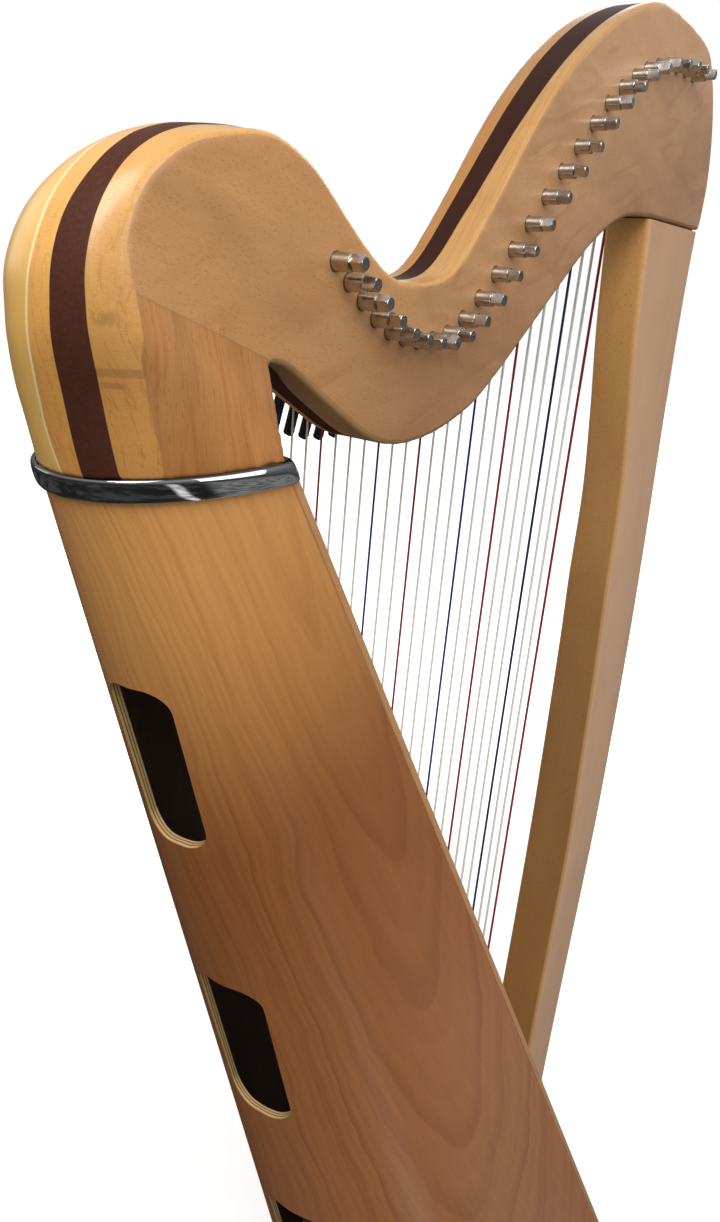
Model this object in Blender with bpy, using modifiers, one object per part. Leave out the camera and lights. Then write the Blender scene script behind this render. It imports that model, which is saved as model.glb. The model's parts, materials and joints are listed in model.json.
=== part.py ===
# 27-string lever harp with a round-backed soundbox.
# Units: metres in Blender, the constants below are millimetres.
# Frame: origin on the floor, on the strings' plane; +X from the player's
# shoulder towards the pillar ("front"), +Y to the player's left (string and
# lever side), +Z up. The strings are vertical and lie in the plane Y = 0.
import bpy
import bmesh
from math import sin, cos, tan, pi, radians, sqrt
from mathutils import Vector, Matrix

for old in list(bpy.data.objects):
    bpy.data.objects.remove(old, do_unlink=True)

MM = 0.001
GAP = 0.3                       # clearance kept between touching pieces
CURVE_STEPS = 3                 # points per span of a smoothed outline

# ---------------------------------------------------------------- shared dimensions
STRINGS = 27

# neck: a plank standing in the XZ plane, to the right of the strings
NECK_RIGHT_Y = -44.0            # face the tuning pins' square ends stand out of
NECK_THICK = 32.0
NECK_LEFT_Y = NECK_RIGHT_Y + NECK_THICK
NECK_MID_Y = NECK_RIGHT_Y + NECK_THICK / 2

# tuning pins: 7.5 mm across
PIN_R = 3.75
PIN_SIDES = 12
PIN_X0 = -300.0                 # pin of the shortest string
PIN_Z0 = 985.0
PIN_SPAN = 370.0                # first to last pin, along X
PIN_SPREAD = (0.653, 0.543, -0.196)     # share of the span: linear, square, cube
# pin index, height above the first pin
PIN_WAVE = ((0, 0.0), (2, -14.5), (4, -26.5), (7, -30.5), (9, -20.5), (12, 14.5),
            (15, 57.0), (18, 98.0), (20, 117.5), (22, 129.5), (24, 135.5), (26, 137.0))
STRING_DX = 0.5                 # strings stand this far in front of the pins

# levers
LEVER_PIVOT_DROP = 31.0         # pivot below the tuning pin
LEVER_PIVOT_Y = 6.3
LEVER_WIDTH = 5.4
LEVER_DX = 1.5                  # lever sits a little in front of its string

# soundbox: straight generators between a small D at the top and a large D
# at the foot; s runs down the middle of the soundboard, t round the back
# from the right edge (0) to the left edge (pi)
BOX_LEAN = radians(28.0)        # soundboard from the vertical
BOX_X, BOX_Z = -336.2, 914.3    # middle of the shell's front edge where s = 0
BOX_HALF_WIDTH = (49.05, 0.110)         # at s = 0, gain per unit of s
BOX_DEPTH = (68.6, 0.198)               # behind the soundboard, likewise
BOX_FOOT_Z = 35.6               # underside of the shell

BOX_ORIGIN = Vector((BOX_X, 0, BOX_Z))
DOWN_BOX = Vector((sin(BOX_LEAN), 0, -cos(BOX_LEAN)))
BACK = Vector((-cos(BOX_LEAN), 0, -sin(BOX_LEAN)))
FRONT = -BACK
LEFT = Vector((0, 1, 0))

BOARD_GAP = 0.5                 # soundboard in front of the shell's edge
BOARD_THICK = 4.0
BOARD_FACE = BOARD_GAP + BOARD_THICK

# plane of the trim band between the shoulder and the soundbox
BAND_X, BAND_Z = -332.0, 909.6
BAND_TIP = 0.0723               # rise per unit of X

# ---------------------------------------------------------------- collections, materials
harp = bpy.data.collections.new("lever_harp")
guides = bpy.data.collections.new("lever_harp_cutters")
bpy.context.scene.collection.children.link(harp)
bpy.context.scene.collection.children.link(guides)


def material(name, colour, roughness, metallic=0.0):
    mat = bpy.data.materials.new(name)
    mat.use_nodes = True
    shader = mat.node_tree.nodes["Principled BSDF"]
    shader.inputs["Base Color"].default_value = (*colour, 1)
    shader.inputs["Roughness"].default_value = roughness
    shader.inputs["Metallic"].default_value = metallic
    mat.diffuse_color = (*colour, 1)
    return mat


BEECH = material("beech", colour=(0.60, 0.37, 0.19), roughness=0.42)
BEECH_RED = material("beech_red", colour=(0.50, 0.26, 0.12), roughness=0.38)
SPRUCE = material("spruce", colour=(0.78, 0.60, 0.36), roughness=0.45)
STEEL = material("nickel_steel", colour=(0.62, 0.61, 0.58), roughness=0.25, metallic=1.0)
CHROME = material("chrome", colour=(0.75, 0.76, 0.78), roughness=0.08, metallic=1.0)
BLACK = material("black_plastic", colour=(0.015, 0.015, 0.016), roughness=0.5)
NYLON = material("nylon_string", colour=(0.80, 0.80, 0.76), roughness=0.3)
WALNUT = material("base_wood", colour=(0.20, 0.10, 0.06), roughness=0.4)


# ---------------------------------------------------------------- object helpers
def set_material(mesh, mat):
    mesh.materials.clear()
    mesh.materials.append(mat)


def put(obj, mat, collection=harp):
    collection.objects.link(obj)
    set_material(obj.data, mat)
    return obj


def smooth(obj, angle):
    """Smooth shading, with edges sharper than the angle in degrees kept crisp."""
    obj.data.shade_smooth()
    obj.data.set_sharp_from_angle(angle=radians(angle))
    return obj


def round_edges(obj, name, width):
    """Bevel the sharp edges in two segments."""
    bevel = obj.modifiers.new(name, 'BEVEL')
    bevel.width = width * MM
    bevel.segments = 2
    bevel.limit_method = 'ANGLE'
    bevel.angle_limit = radians(50)


def boolean(obj, helper, operation):
    """Combine obj with a hidden helper kept among the guides."""
    guides.objects.link(helper)
    helper.hide_render = True
    helper.display_type = 'WIRE'
    mod = obj.modifiers.new(operation.lower(), 'BOOLEAN')
    mod.operation = operation
    mod.solver = 'EXACT'
    mod.object = helper


def evaluated_mesh(obj):
    bpy.context.view_layer.update()
    depsgraph = bpy.context.evaluated_depsgraph_get()
    return bpy.data.meshes.new_from_object(obj.evaluated_get(depsgraph))


def baked_mesh(obj, name, mat):
    """The mesh with its modifiers applied; the object and its helpers are removed."""
    mesh = evaluated_mesh(obj)
    for mod in list(obj.modifiers):
        if mod.type == 'BOOLEAN':
            bpy.data.objects.remove(mod.object, do_unlink=True)
    bpy.data.objects.remove(obj, do_unlink=True)
    mesh.name = name
    set_material(mesh, mat)
    return mesh


def baked(obj, name, mat):
    new = bpy.data.objects.new(name, baked_mesh(obj, name, mat))
    harp.objects.link(new)
    return new


# ---------------------------------------------------------------- geometry helpers
UPRIGHT = Matrix.Rotation(radians(90), 4, 'X')  # stands flat outlines in the XZ plane
ALONG_X = Matrix.Rotation(radians(90), 4, 'Y')  # lays a rod along X
ALONG_Y = UPRIGHT                               # lays a rod along Y


def frame(x_axis, y_axis, z_axis, origin):
    """Placing matrix from three axes and an origin in metres."""
    matrix = Matrix((x_axis, y_axis, z_axis)).transposed().to_4x4()
    matrix.translation = origin
    return matrix


def board_frame(offset):
    """Frame parallel to the soundboard, offset in front of the shell's edge."""
    return frame(DOWN_BOX, LEFT, FRONT, (BOX_ORIGIN + FRONT * offset) * MM)


def catmull(points, steps=CURVE_STEPS):
    """A smooth open line through the points."""
    line = []
    last = len(points) - 1
    for i in range(last):
        p0, p1, p2, p3 = (Vector(points[min(max(i + k, 0), last)]) for k in (-1, 0, 1, 2))
        for q in range(steps):
            u = q / steps
            line.append(0.5 * ((2 * p1) + (p2 - p0) * u
                               + (2 * p0 - 5 * p1 + 4 * p2 - p3) * u * u
                               + (3 * p1 - p0 - 3 * p2 + p3) * u ** 3))
    line.append(Vector(points[-1]))
    return line


def along(table, x):
    """Smooth value at x from a short table of (x, value) knots."""
    def slope(j):
        before = table[max(j - 1, 0)]
        after = table[min(j + 1, len(table) - 1)]
        return (after[1] - before[1]) / (after[0] - before[0])

    if x <= table[0][0]:
        return table[0][1]
    for i in range(len(table) - 1):
        x0, y0 = table[i]
        x1, y1 = table[i + 1]
        if x <= x1:
            h = x1 - x0
            u = (x - x0) / h
            return ((2 * u ** 3 - 3 * u * u + 1) * y0
                    + (u ** 3 - 2 * u * u + u) * h * slope(i)
                    + (-2 * u ** 3 + 3 * u * u) * y1
                    + (u ** 3 - u * u) * h * slope(i + 1))
    return table[-1][1]


def bmesh_object(name, bm):
    mesh = bpy.data.meshes.new(name)
    bm.to_mesh(mesh)
    bm.free()
    return bpy.data.objects.new(name, mesh)


def outline_solid(name, points, thick, matrix):
    """A flat outline, filled and given a thickness, as a welded mesh."""
    curve = bpy.data.curves.new(name, 'CURVE')
    curve.dimensions = '2D'
    curve.fill_mode = 'BOTH'
    curve.extrude = thick * MM / 2
    spline = curve.splines.new('POLY')
    spline.points.add(len(points) - 1)
    for point, (u, v) in zip(spline.points, points):
        point.co = (u * MM, v * MM, 0, 1)
    spline.use_cyclic_u = True
    outline = bpy.data.objects.new(name + "_outline", curve)
    guides.objects.link(outline)
    mesh = evaluated_mesh(outline)
    mesh.transform(matrix)
    bpy.data.objects.remove(outline, do_unlink=True)
    bm = bmesh.new()
    bm.from_mesh(mesh)
    bmesh.ops.remove_doubles(bm, verts=bm.verts, dist=1e-6)
    bmesh.ops.recalc_face_normals(bm, faces=bm.faces)
    bm.to_mesh(mesh)
    bm.free()
    return bpy.data.objects.new(name, mesh)


def loft(name, rings, closed=False):
    """A solid through rings of equal point count, capped or closed on itself."""
    bm = bmesh.new()
    rows = [[bm.verts.new(Vector(p) * MM) for p in ring] for ring in rings]
    count = len(rows[0])
    following = rows[1:] + rows[:1] if closed else rows[1:]
    for a, b in zip(rows, following):
        for i in range(count):
            j = (i + 1) % count
            bm.faces.new((a[i], a[j], b[j], b[i]))
    if not closed:
        bm.faces.new(list(reversed(rows[0])))
        bm.faces.new(rows[-1])
    bmesh.ops.recalc_face_normals(bm, faces=bm.faces)
    return bmesh_object(name, bm)


def add_rod(bm, sides, radius, length, centre, turn=Matrix.Identity(4)):
    """A capped prism, along Z unless turned."""
    bmesh.ops.create_cone(bm, cap_ends=True, segments=sides, radius1=radius * MM,
                          radius2=radius * MM, depth=length * MM,
                          matrix=Matrix.Translation(Vector(centre) * MM) @ turn)


def rod(name, sides, radius, length, centre, turn):
    bm = bmesh.new()
    add_rod(bm, sides, radius, length, centre, turn)
    return bmesh_object(name, bm)


# ---------------------------------------------------------------- layout
def pin_xz(i):
    """Centre of tuning pin i, counted from 0 at the shortest string."""
    t = i / (STRINGS - 1)
    linear, square, cube = PIN_SPREAD
    x = PIN_SPAN * (linear * t + square * t * t + cube * t ** 3)
    return PIN_X0 + x, PIN_Z0 + along(PIN_WAVE, i)


def lever_xz(i):
    """Middle of lever i's pivot."""
    x, z = pin_xz(i)
    return x + STRING_DX + LEVER_DX, z - LEVER_PIVOT_DROP


def board_x(z):
    """X of the shell's front edge at height z."""
    return BOX_X + (BOX_Z - z) * tan(BOX_LEAN)


def half_width(s):
    return BOX_HALF_WIDTH[0] + BOX_HALF_WIDTH[1] * s


def box_point(s, t, grow=0.0):
    """Point on the outside of the soundbox, moved out by grow."""
    width = half_width(s) + grow
    depth = BOX_DEPTH[0] + BOX_DEPTH[1] * s + grow
    return (BOX_ORIGIN + DOWN_BOX * s + Vector((0, -width * cos(t), 0))
            + BACK * (depth * sin(t)))


def box_cut(t, plane_z, plane_x=0.0, tip=0.0):
    """s at which the generator t meets the plane Z = plane_z + tip * (X - plane_x)."""
    back_fall = sin(BOX_LEAN) - tip * cos(BOX_LEAN)
    down_fall = cos(BOX_LEAN) + tip * sin(BOX_LEAN)
    height = (BOX_Z - tip * BOX_X) - (plane_z - tip * plane_x)
    return ((height - back_fall * BOX_DEPTH[0] * sin(t))
            / (down_fall + back_fall * BOX_DEPTH[1] * sin(t)))


def band_cut(t, rise):
    """s at which the generator t meets the band's plane raised by rise."""
    return box_cut(t, BAND_Z + rise, BAND_X, BAND_TIP)


def band_ring(rise, steps):
    """The round side of the soundbox cut by the raised band plane, right to left."""
    ring = []
    for k in range(steps + 1):
        t = pi * k / steps
        ring.append(box_point(band_cut(t, rise), t))
    return ring


# ---------------------------------------------------------------- soundbox
BOX_WALL = 5.0
SHELL_TOP_RISE = -4.0           # shell's top against the band's plane
SHELL_ROUND_STEPS = 32
SHELL_LENGTH_STEPS = 7

# sound holes in the back: start and end along s, half width
HOLES = ((76.0, 174.0, 18.0), (284.0, 422.0, 23.0), (555.0, 734.0, 28.0))
HOLE_T = radians(85.4)          # where round the back they lie
HOLE_T_STEP = 0.05              # either side of HOLE_T, to find the surface's slope
HOLE_CORNER = 0.7               # corner radius as a share of the half width
HOLE_CUT_DEPTH = 44.0


def hole_outline(start, end, half):
    """Rounded slot, one quarter turn per corner."""
    radius = half * HOLE_CORNER
    side = half - radius
    points = []
    for x, y, first in ((end - radius, side, 0), (start + radius, side, 90),
                        (start + radius, -side, 180), (end - radius, -side, 270)):
        for q in range(7):
            angle = radians(first + 15 * q)
            points.append((x + radius * cos(angle), y + radius * sin(angle)))
    return points


def hole_cutter(name, start, end, half):
    """A slot pushed through the back, square to its surface."""
    middle = (start + end) / 2
    upper, lower = box_point(start, HOLE_T), box_point(end, HOLE_T)
    lengthways = (lower - upper).normalized()
    across = (box_point(middle, HOLE_T + HOLE_T_STEP)
              - box_point(middle, HOLE_T - HOLE_T_STEP)).normalized()
    through = lengthways.cross(across).normalized()
    across = through.cross(lengthways)
    origin = (upper + lower) / 2 * MM - lengthways * (middle * MM)
    return outline_solid(name, hole_outline(start, end, half), HOLE_CUT_DEPTH,
                         frame(lengthways, across, through, origin))


def make_shell():
    bm = bmesh.new()
    rows = []
    for j in range(SHELL_LENGTH_STEPS + 1):
        row = []
        for k in range(SHELL_ROUND_STEPS + 1):
            t = pi * k / SHELL_ROUND_STEPS
            top = band_cut(t, SHELL_TOP_RISE)
            foot = box_cut(t, BOX_FOOT_Z)
            s = top + (foot - top) * j / SHELL_LENGTH_STEPS
            row.append(bm.verts.new(box_point(s, t) * MM))
        rows.append(row)
    for a, b in zip(rows, rows[1:]):
        for k in range(SHELL_ROUND_STEPS):
            bm.faces.new((a[k], b[k], b[k + 1], a[k + 1]))
    shell = put(bmesh_object("soundbox_shell", bm), BEECH_RED)
    shell.data.flip_normals()   # face outwards, so the wall grows inwards
    wall = shell.modifiers.new("wall", 'SOLIDIFY')
    wall.thickness = BOX_WALL * MM
    wall.offset = -1
    wall.use_even_offset = True
    for number, hole in enumerate(HOLES, 1):
        boolean(shell, hole_cutter("sound_hole_cut_%d" % number, *hole), 'DIFFERENCE')
    smooth(shell, 30)


BOARD_TOP_S = 9.5
BOARD_FOOT_GAP = 0.4            # soundboard's end above the shell's underside
BOARD_BEVEL = 0.8


def make_board():
    top = BOARD_TOP_S
    foot = (BOX_Z - BOX_FOOT_Z - BOARD_FOOT_GAP) / cos(BOX_LEAN)
    top_half, foot_half = half_width(top), half_width(foot)
    outline = [(top, -top_half), (foot, -foot_half), (foot, foot_half), (top, top_half)]
    board = outline_solid("soundboard", outline, BOARD_THICK,
                          board_frame(BOARD_GAP + BOARD_THICK / 2))
    put(board, SPRUCE)
    bevel = board.modifiers.new("edge", 'BEVEL')
    bevel.width = BOARD_BEVEL * MM
    bevel.segments = 1


# ---------------------------------------------------------------- shoulder band
BAND_TALL = 10.0
BAND_THICK = 2.4
BAND_INSIDE = 0.5               # band's inner face outside the box's surface
BAND_SHOULDER = BAND_INSIDE + 0.62 * BAND_THICK
BAND_OUTSIDE = BAND_INSIDE + BAND_THICK
BAND_FRONT = 6.4                # front side, ahead of the shell's front edge
BAND_CORNER = 2.5
BAND_ROUND_STEPS = 36
BAND_CORNER_STEPS = 4
# section of the strip: distance outwards, rise against the band's plane
BAND_PROFILE = ((BAND_INSIDE, -0.4), (BAND_INSIDE, -BAND_TALL),
                (BAND_SHOULDER, -BAND_TALL + 0.2), (BAND_OUTSIDE, -BAND_TALL + 2.4),
                (BAND_OUTSIDE, -2.8), (BAND_SHOULDER, -0.6))


def band_loop(out, rise):
    """The D from right to left, then the front side with its rounded corners."""
    ring = band_ring(rise, BAND_ROUND_STEPS)
    points = []
    for k, p in enumerate(ring):
        t = pi * k / BAND_ROUND_STEPS
        points.append((p.x - sin(t) * out, p.y - cos(t) * out))
    corner_x = ring[0].x + BAND_FRONT - BAND_CORNER
    corner_y = -ring[0].y - BAND_CORNER
    radius = BAND_CORNER + out
    for q in range(1, BAND_CORNER_STEPS + 1):
        angle = radians(90 * q / BAND_CORNER_STEPS)
        points.append((corner_x + radius * sin(angle), corner_y + radius * cos(angle)))
    for q in range(BAND_CORNER_STEPS):
        angle = radians(90 * q / BAND_CORNER_STEPS)
        points.append((corner_x + radius * cos(angle), -corner_y - radius * sin(angle)))
    return [(x, y, BAND_Z + (x - BAND_X) * BAND_TIP + rise) for x, y in points]


def make_band():
    """Convex strip bent round the D where the shoulder meets the box."""
    loops = [band_loop(out, rise) for out, rise in BAND_PROFILE]
    smooth(put(loft("shoulder_band", loops, closed=True), CHROME), 50)


# ---------------------------------------------------------------- neck
NECK_ROUND = 4.5                # rounded edge of the plank
# outer line of the plank (x, z), before its edge is rounded: over the top from
# the shoulder to the pillar, then back underneath
NECK_TOP = (
    (-400, 966), (-405.5, 976), (-405, 991), (-400.5, 1001), (-390, 1010), (-375, 1019.5),
    (-350, 1025), (-336, 1025), (-316, 1018), (-302.5, 1008.5), (-283, 994.5), (-263, 982.5),
    (-255, 980), (-241, 979.5), (-210, 985), (-180, 1015.5), (-131, 1074), (-76, 1116.5),
    (-18, 1142.5), (25, 1148), (90, 1144.5), (110.5, 1133), (123.5, 1117.5), (136.5, 1091.5),
    (144.5, 1063.5), (144.5, 1038))
NECK_UNDER = (
    (143.3, 1033), (38, 1032.4), (-3, 1029), (-27, 1021.5), (-45, 1012.5), (-67, 998.5),
    (-155, 932.6), (-184, 916.5), (-222, 906.6), (-258, 908), (-290, 923.6), (-319, 940.5),
    (-332, 947), (-341, 946.5), (-372, 955))

# the shoulder: level sections from the band up to the pivot's height, then
# sections fanned round the pivot until they meet the plank's top
SHOULDER_STEPS = 12             # per quarter of a section
SHOULDER_FOOT_RISE = -1.5       # lowest section against the band's plane
SHOULDER_FOOT_FRONT = 0.4       # its extra front point, ahead of the D's right end
# level sections: height, x of front, x of the end of the flat right side,
# x of back, crown y, left side y
SHOULDER_LOW = (
    (922, -331.8, -344, -410.5, -4, 47.0),
    (935, -334.5, -358, -416.0, -7, 44.0),
    (948, -337.5, -378, -421.0, -11, 39.0),
    (960, -340.5, -394, -423.5, -14, 36.0),
)
SHOULDER_PIVOT = (-344.0, 960.0)
FAN_START = 3.0                 # fanned sections start this far from the pivot
# fan: angle, reach of the flat right side, reach of the crown, crown y, left side y
SHOULDER_FAN = (
    (12, 60.0, 81.7, -16, 31.6),
    (25, 63.0, 81.1, -18, 27.0),
    (38, 66.0, 77.8, -20, 21.0),
    (50, 66.5, 74.1, -22, 13.6),
    (62, 65.0, 70.4, -24, 5.3),
    (74, 62.5, 67.4, -25, -3.7),
    (88, 61.5, 66.4, -25, -12.0),
    (104, 60.0, 67.2, -25, -12.0),
    (118, 58.0, 66.0, -26, -12.0),
    (130, 55.0, 61.0, -27, -12.0),
)
# line where the flat right face ends
CREASE_X, CREASE_Z, CREASE_SLOPE = -402.0, 969.3, -0.337
CREASE_FALL = 0.105             # how fast the cheek swells below the crease

BRACKET_THICK = 1.5
BRACKET_TALL = 8.0
BRACKET_GAP = 0.5               # between a bracket and its lever
BRACKET_SUNK = 1.0              # into the neck's left face
BRACKET_PAST_PIVOT = 3.5

BORE_R = PIN_R / cos(pi / PIN_SIDES) + 0.17     # clears a pin turned to any angle
BORE_LENGTH = NECK_THICK * 1.5


def shoulder_ring(pivot, out, start, flat, back, crown_y, left_y):
    """One section: out along the flat right side, round the crown, back along the left."""
    quarter = [pi / 2 * k / SHOULDER_STEPS for k in range(SHOULDER_STEPS + 1)]
    points = [(start, NECK_RIGHT_Y)]
    for a in quarter:
        points.append((flat + (back - flat) * sin(a),
                       crown_y + (NECK_RIGHT_Y - crown_y) * cos(a)))
    for a in quarter[1:]:
        points.append((start + (back - start) * cos(a),
                       crown_y + (left_y - crown_y) * sin(a)))
    ring = []
    for reach, y in points:
        x, z = pivot[0] + out[0] * reach, pivot[1] + out[1] * reach
        below = CREASE_Z + CREASE_SLOPE * (x - CREASE_X) - z
        if y < crown_y and below > 0:
            side = crown_y - NECK_RIGHT_Y
            y = crown_y + (y - crown_y) * (side + CREASE_FALL * below) / side
        ring.append((x, y, z))
    return ring


def shoulder_block():
    """Starts as the soundbox's D and leans into the plank."""
    foot = band_ring(SHOULDER_FOOT_RISE, 2 * SHOULDER_STEPS)
    rings = [[foot[0] + Vector((SHOULDER_FOOT_FRONT, 0, 0))] + foot]
    for z, front, flat, back, crown_y, left_y in SHOULDER_LOW:
        rings.append(shoulder_ring((0, z), (-1, 0), -front, -flat, -back, crown_y, left_y))
    for degrees, flat, crown, crown_y, left_y in SHOULDER_FAN:
        out = (-cos(radians(degrees)), sin(radians(degrees)))
        rings.append(shoulder_ring(SHOULDER_PIVOT, out, FAN_START, flat, crown,
                                   crown_y, left_y))
    return loft("shoulder_block", rings)


def lever_brackets():
    """Small plates on the left face, one behind each lever."""
    right, left = NECK_LEFT_Y - BRACKET_SUNK, LEVER_PIVOT_Y + BRACKET_PAST_PIVOT
    size = (BRACKET_THICK * MM, (left - right) * MM, BRACKET_TALL * MM, 1)
    bm = bmesh.new()
    for i in range(1, STRINGS):
        x, z = lever_xz(i)
        x -= LEVER_WIDTH / 2 + BRACKET_GAP + BRACKET_THICK / 2
        place = Matrix.Translation(Vector((x, (right + left) / 2, z)) * MM)
        bmesh.ops.create_cube(bm, size=1.0, matrix=place @ Matrix.Diagonal(size))
    return bmesh_object("lever_brackets", bm)


def pin_bores():
    bm = bmesh.new()
    for i in range(STRINGS):
        x, z = pin_xz(i)
        add_rod(bm, PIN_SIDES, BORE_R, BORE_LENGTH, (x, NECK_MID_Y, z), ALONG_Y)
    return bmesh_object("pin_bores", bm)


def make_neck():
    place = Matrix.Translation((0, NECK_MID_Y * MM, 0)) @ UPRIGHT
    plank = outline_solid("neck", catmull(NECK_TOP) + catmull(NECK_UNDER), NECK_THICK, place)
    put(plank, BEECH, guides)
    round_edges(plank, "rounded_edge", NECK_ROUND)
    boolean(plank, shoulder_block(), 'UNION')
    boolean(plank, lever_brackets(), 'UNION')
    boolean(plank, pin_bores(), 'DIFFERENCE')
    smooth(baked(plank, "neck", BEECH), 30)


# ---------------------------------------------------------------- pillar
# height, x of the back (string side) edge
PILLAR_BACK = (
    (35.6, 143), (111.0, 103.2), (135, 100.5), (285, 102), (485, 104), (585, 99),
    (700, 91), (760, 85), (835, 80.5), (905, 65), (957, 51), (1031.6, 38))
# height, x of the front edge
PILLAR_FRONT = (
    (35.6, 170), (150, 166), (285, 167), (485, 172), (600, 171.5), (700, 168),
    (800, 160), (880, 152), (950, 146), (1000, 142.5), (1031.6, 142))
PILLAR_LEVELS = (BOX_FOOT_Z, 75, 111, 125, 200, 285, 385, 485, 560, 630,
                 700, 760, 800, 840, 880, 920, 960, 1000, 1031.6)
PILLAR_SEAT_Z = 111             # up to here the back edge follows the soundboard
PILLAR_SEAT_DX = 6.4 + GAP      # in front of the shell's front edge
PILLAR_SWELL = 5.0              # half thickness gained from neck to foot
PILLAR_SWELL_Z = 500            # full swell up to here
PILLAR_SWELL_FADE = 450         # height over which it fades out above
PILLAR_CORNER = 4.0
PILLAR_CORNER_MID = PILLAR_CORNER * 0.3


def pillar_ring(z):
    """Rectangle with each corner cut by two facets."""
    if z <= PILLAR_SEAT_Z:
        back = board_x(z) + PILLAR_SEAT_DX
    else:
        back = along(PILLAR_BACK, z)
    front = along(PILLAR_FRONT, z)
    fade = min(max((z - PILLAR_SWELL_Z) / PILLAR_SWELL_FADE, 0), 1)
    half = NECK_THICK / 2 + PILLAR_SWELL * (1 - fade)
    right, left = NECK_MID_Y - half, NECK_MID_Y + half
    c, m = PILLAR_CORNER, PILLAR_CORNER_MID
    return [(x, y, z) for x, y in (
        (back + c, right), (front - c, right), (front - m, right + m),
        (front, right + c), (front, left - c), (front - m, left - m),
        (front - c, left), (back + c, left), (back + m, left - m),
        (back, left - c), (back, right + c), (back + m, right + m))]


def make_pillar():
    rings = [pillar_ring(z) for z in PILLAR_LEVELS]
    smooth(put(loft("pillar", rings), BEECH), 40)


# ---------------------------------------------------------------- base
BASE_THICK = 35.0
BASE_MARGIN = 6.0               # base beyond the soundbox
BASE_ROUND = 4.0
BASE_ROUND_STEPS = 24
BASE_FRONT_DX = 10.0            # start of the nose, ahead of the shell's front edge
# left side of the nose: x from its start, y; mirrored about the pillar's middle
NOSE_SIDE = ((6, 44), (16, 22), (38, 8))
NOSE_TIP_DX = 45
NOSE_ROOT_DX = 4                # the root's second point, and its share of the width
NOSE_ROOT_SHARE = 0.9


def make_base():
    """Foot board: the box's D with a nose under the pillar."""
    outline = []
    for k in range(BASE_ROUND_STEPS + 1):
        t = pi * k / BASE_ROUND_STEPS
        p = box_point(box_cut(t, BOX_FOOT_Z), t, BASE_MARGIN)
        outline.append((p.x, p.y))
    x = board_x(BOX_FOOT_Z) + BASE_FRONT_DX
    half = half_width(box_cut(0, BOX_FOOT_Z)) + BASE_MARGIN
    root = (x + NOSE_ROOT_DX, half * NOSE_ROOT_SHARE)
    left = [(x + dx, y) for dx, y in NOSE_SIDE]
    right = [(x + dx, 2 * NECK_MID_Y - y) for dx, y in reversed(NOSE_SIDE)]
    outline += catmull([(x, half), root] + left + [(x + NOSE_TIP_DX, NECK_MID_Y)]
                       + right + [(root[0], -root[1]), (x, -half)])
    base = outline_solid("base", outline, BASE_THICK,
                         Matrix.Translation((0, 0, BASE_THICK / 2 * MM)))
    put(base, WALNUT)
    round_edges(base, "edge", BASE_ROUND)
    smooth(base, 35)


# ---------------------------------------------------------------- strings
STRING_TOP_DROP = 19.0          # string's top below the tuning pin
STRING_SIDES = 6
STRING_R = 0.36                 # shortest string
STRING_R_GAIN = 0.62            # added by the longest
STRING_R_POWER = 1.3
STRING_SEAT = 1.4               # string's foot above the rib's underside

RIB_THICK = 3.0
RIB_BACK = BOARD_FACE + GAP     # rib's underside in front of the shell's edge
RIB_TOP_S = 24.0
RIB_FOOT_Z = 122.0
RIB_TOP_HALF, RIB_FOOT_HALF = 6.5, 9.0


def string_lines():
    bm = bmesh.new()
    for i in range(STRINGS):
        x, z = pin_xz(i)
        x += STRING_DX
        top = z - STRING_TOP_DROP
        foot = (BOX_Z - (x - BOX_X) / tan(BOX_LEAN)
                + (RIB_BACK + STRING_SEAT) / sin(BOX_LEAN))
        radius = STRING_R + STRING_R_GAIN * (i / (STRINGS - 1)) ** STRING_R_POWER
        add_rod(bm, STRING_SIDES, radius, top - foot, (x, 0, (top + foot) / 2))
    return bmesh_object("string_lines", bm)


def make_strings():
    """The strings, standing in the string rib on the soundboard."""
    foot = (BOX_Z - RIB_FOOT_Z) / cos(BOX_LEAN)
    outline = [(RIB_TOP_S, -RIB_TOP_HALF), (foot, -RIB_FOOT_HALF),
               (foot, RIB_FOOT_HALF), (RIB_TOP_S, RIB_TOP_HALF)]
    rib = outline_solid("string_set", outline, RIB_THICK,
                        board_frame(RIB_BACK + RIB_THICK / 2))
    put(rib, NYLON, guides)
    boolean(rib, string_lines(), 'UNION')
    smooth(baked(rib, "string_set", NYLON), 35)


# ---------------------------------------------------------------- pins
PIN_PROUD = 14.8                # stands out of the neck's right face
PIN_DRIVE = 6.2                 # nominal length of the square drive
PIN_DRIVE_AF = 5.0              # across the flats
PIN_LEFT_Y = 5.0                # far end, just past the strings
SHANK_LAP = 0.8                 # round shank runs back over the drive
DRIVE_LAP = 1.5                 # drive runs on into the shank


def pin_mesh():
    right = NECK_RIGHT_Y - PIN_PROUD
    shank_right = right + PIN_DRIVE - SHANK_LAP
    shank = rod("pin_shank", PIN_SIDES, PIN_R, PIN_LEFT_Y - shank_right,
                (0, (shank_right + PIN_LEFT_Y) / 2, 0), ALONG_Y)
    put(shank, STEEL, guides)
    length = PIN_DRIVE + DRIVE_LAP
    drive = rod("pin_drive", 4, PIN_DRIVE_AF / sqrt(2), length, (0, right + length / 2, 0),
                ALONG_Y @ Matrix.Rotation(radians(45), 4, 'Z'))
    boolean(shank, drive, 'UNION')
    return baked_mesh(shank, "tuning_pin", STEEL)


def make_pins():
    mesh = pin_mesh()
    for i in range(STRINGS):
        x, z = pin_xz(i)
        pin = bpy.data.objects.new("tuning_pin_%02d" % (i + 1), mesh)
        harp.objects.link(pin)
        pin.location = (x * MM, 0, z * MM)
        # scattered quarter-turn angles, as if each pin had been tuned
        pin.rotation_euler = (0, radians((37 * i * i + 23 * i) % 90), 0)


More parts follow.
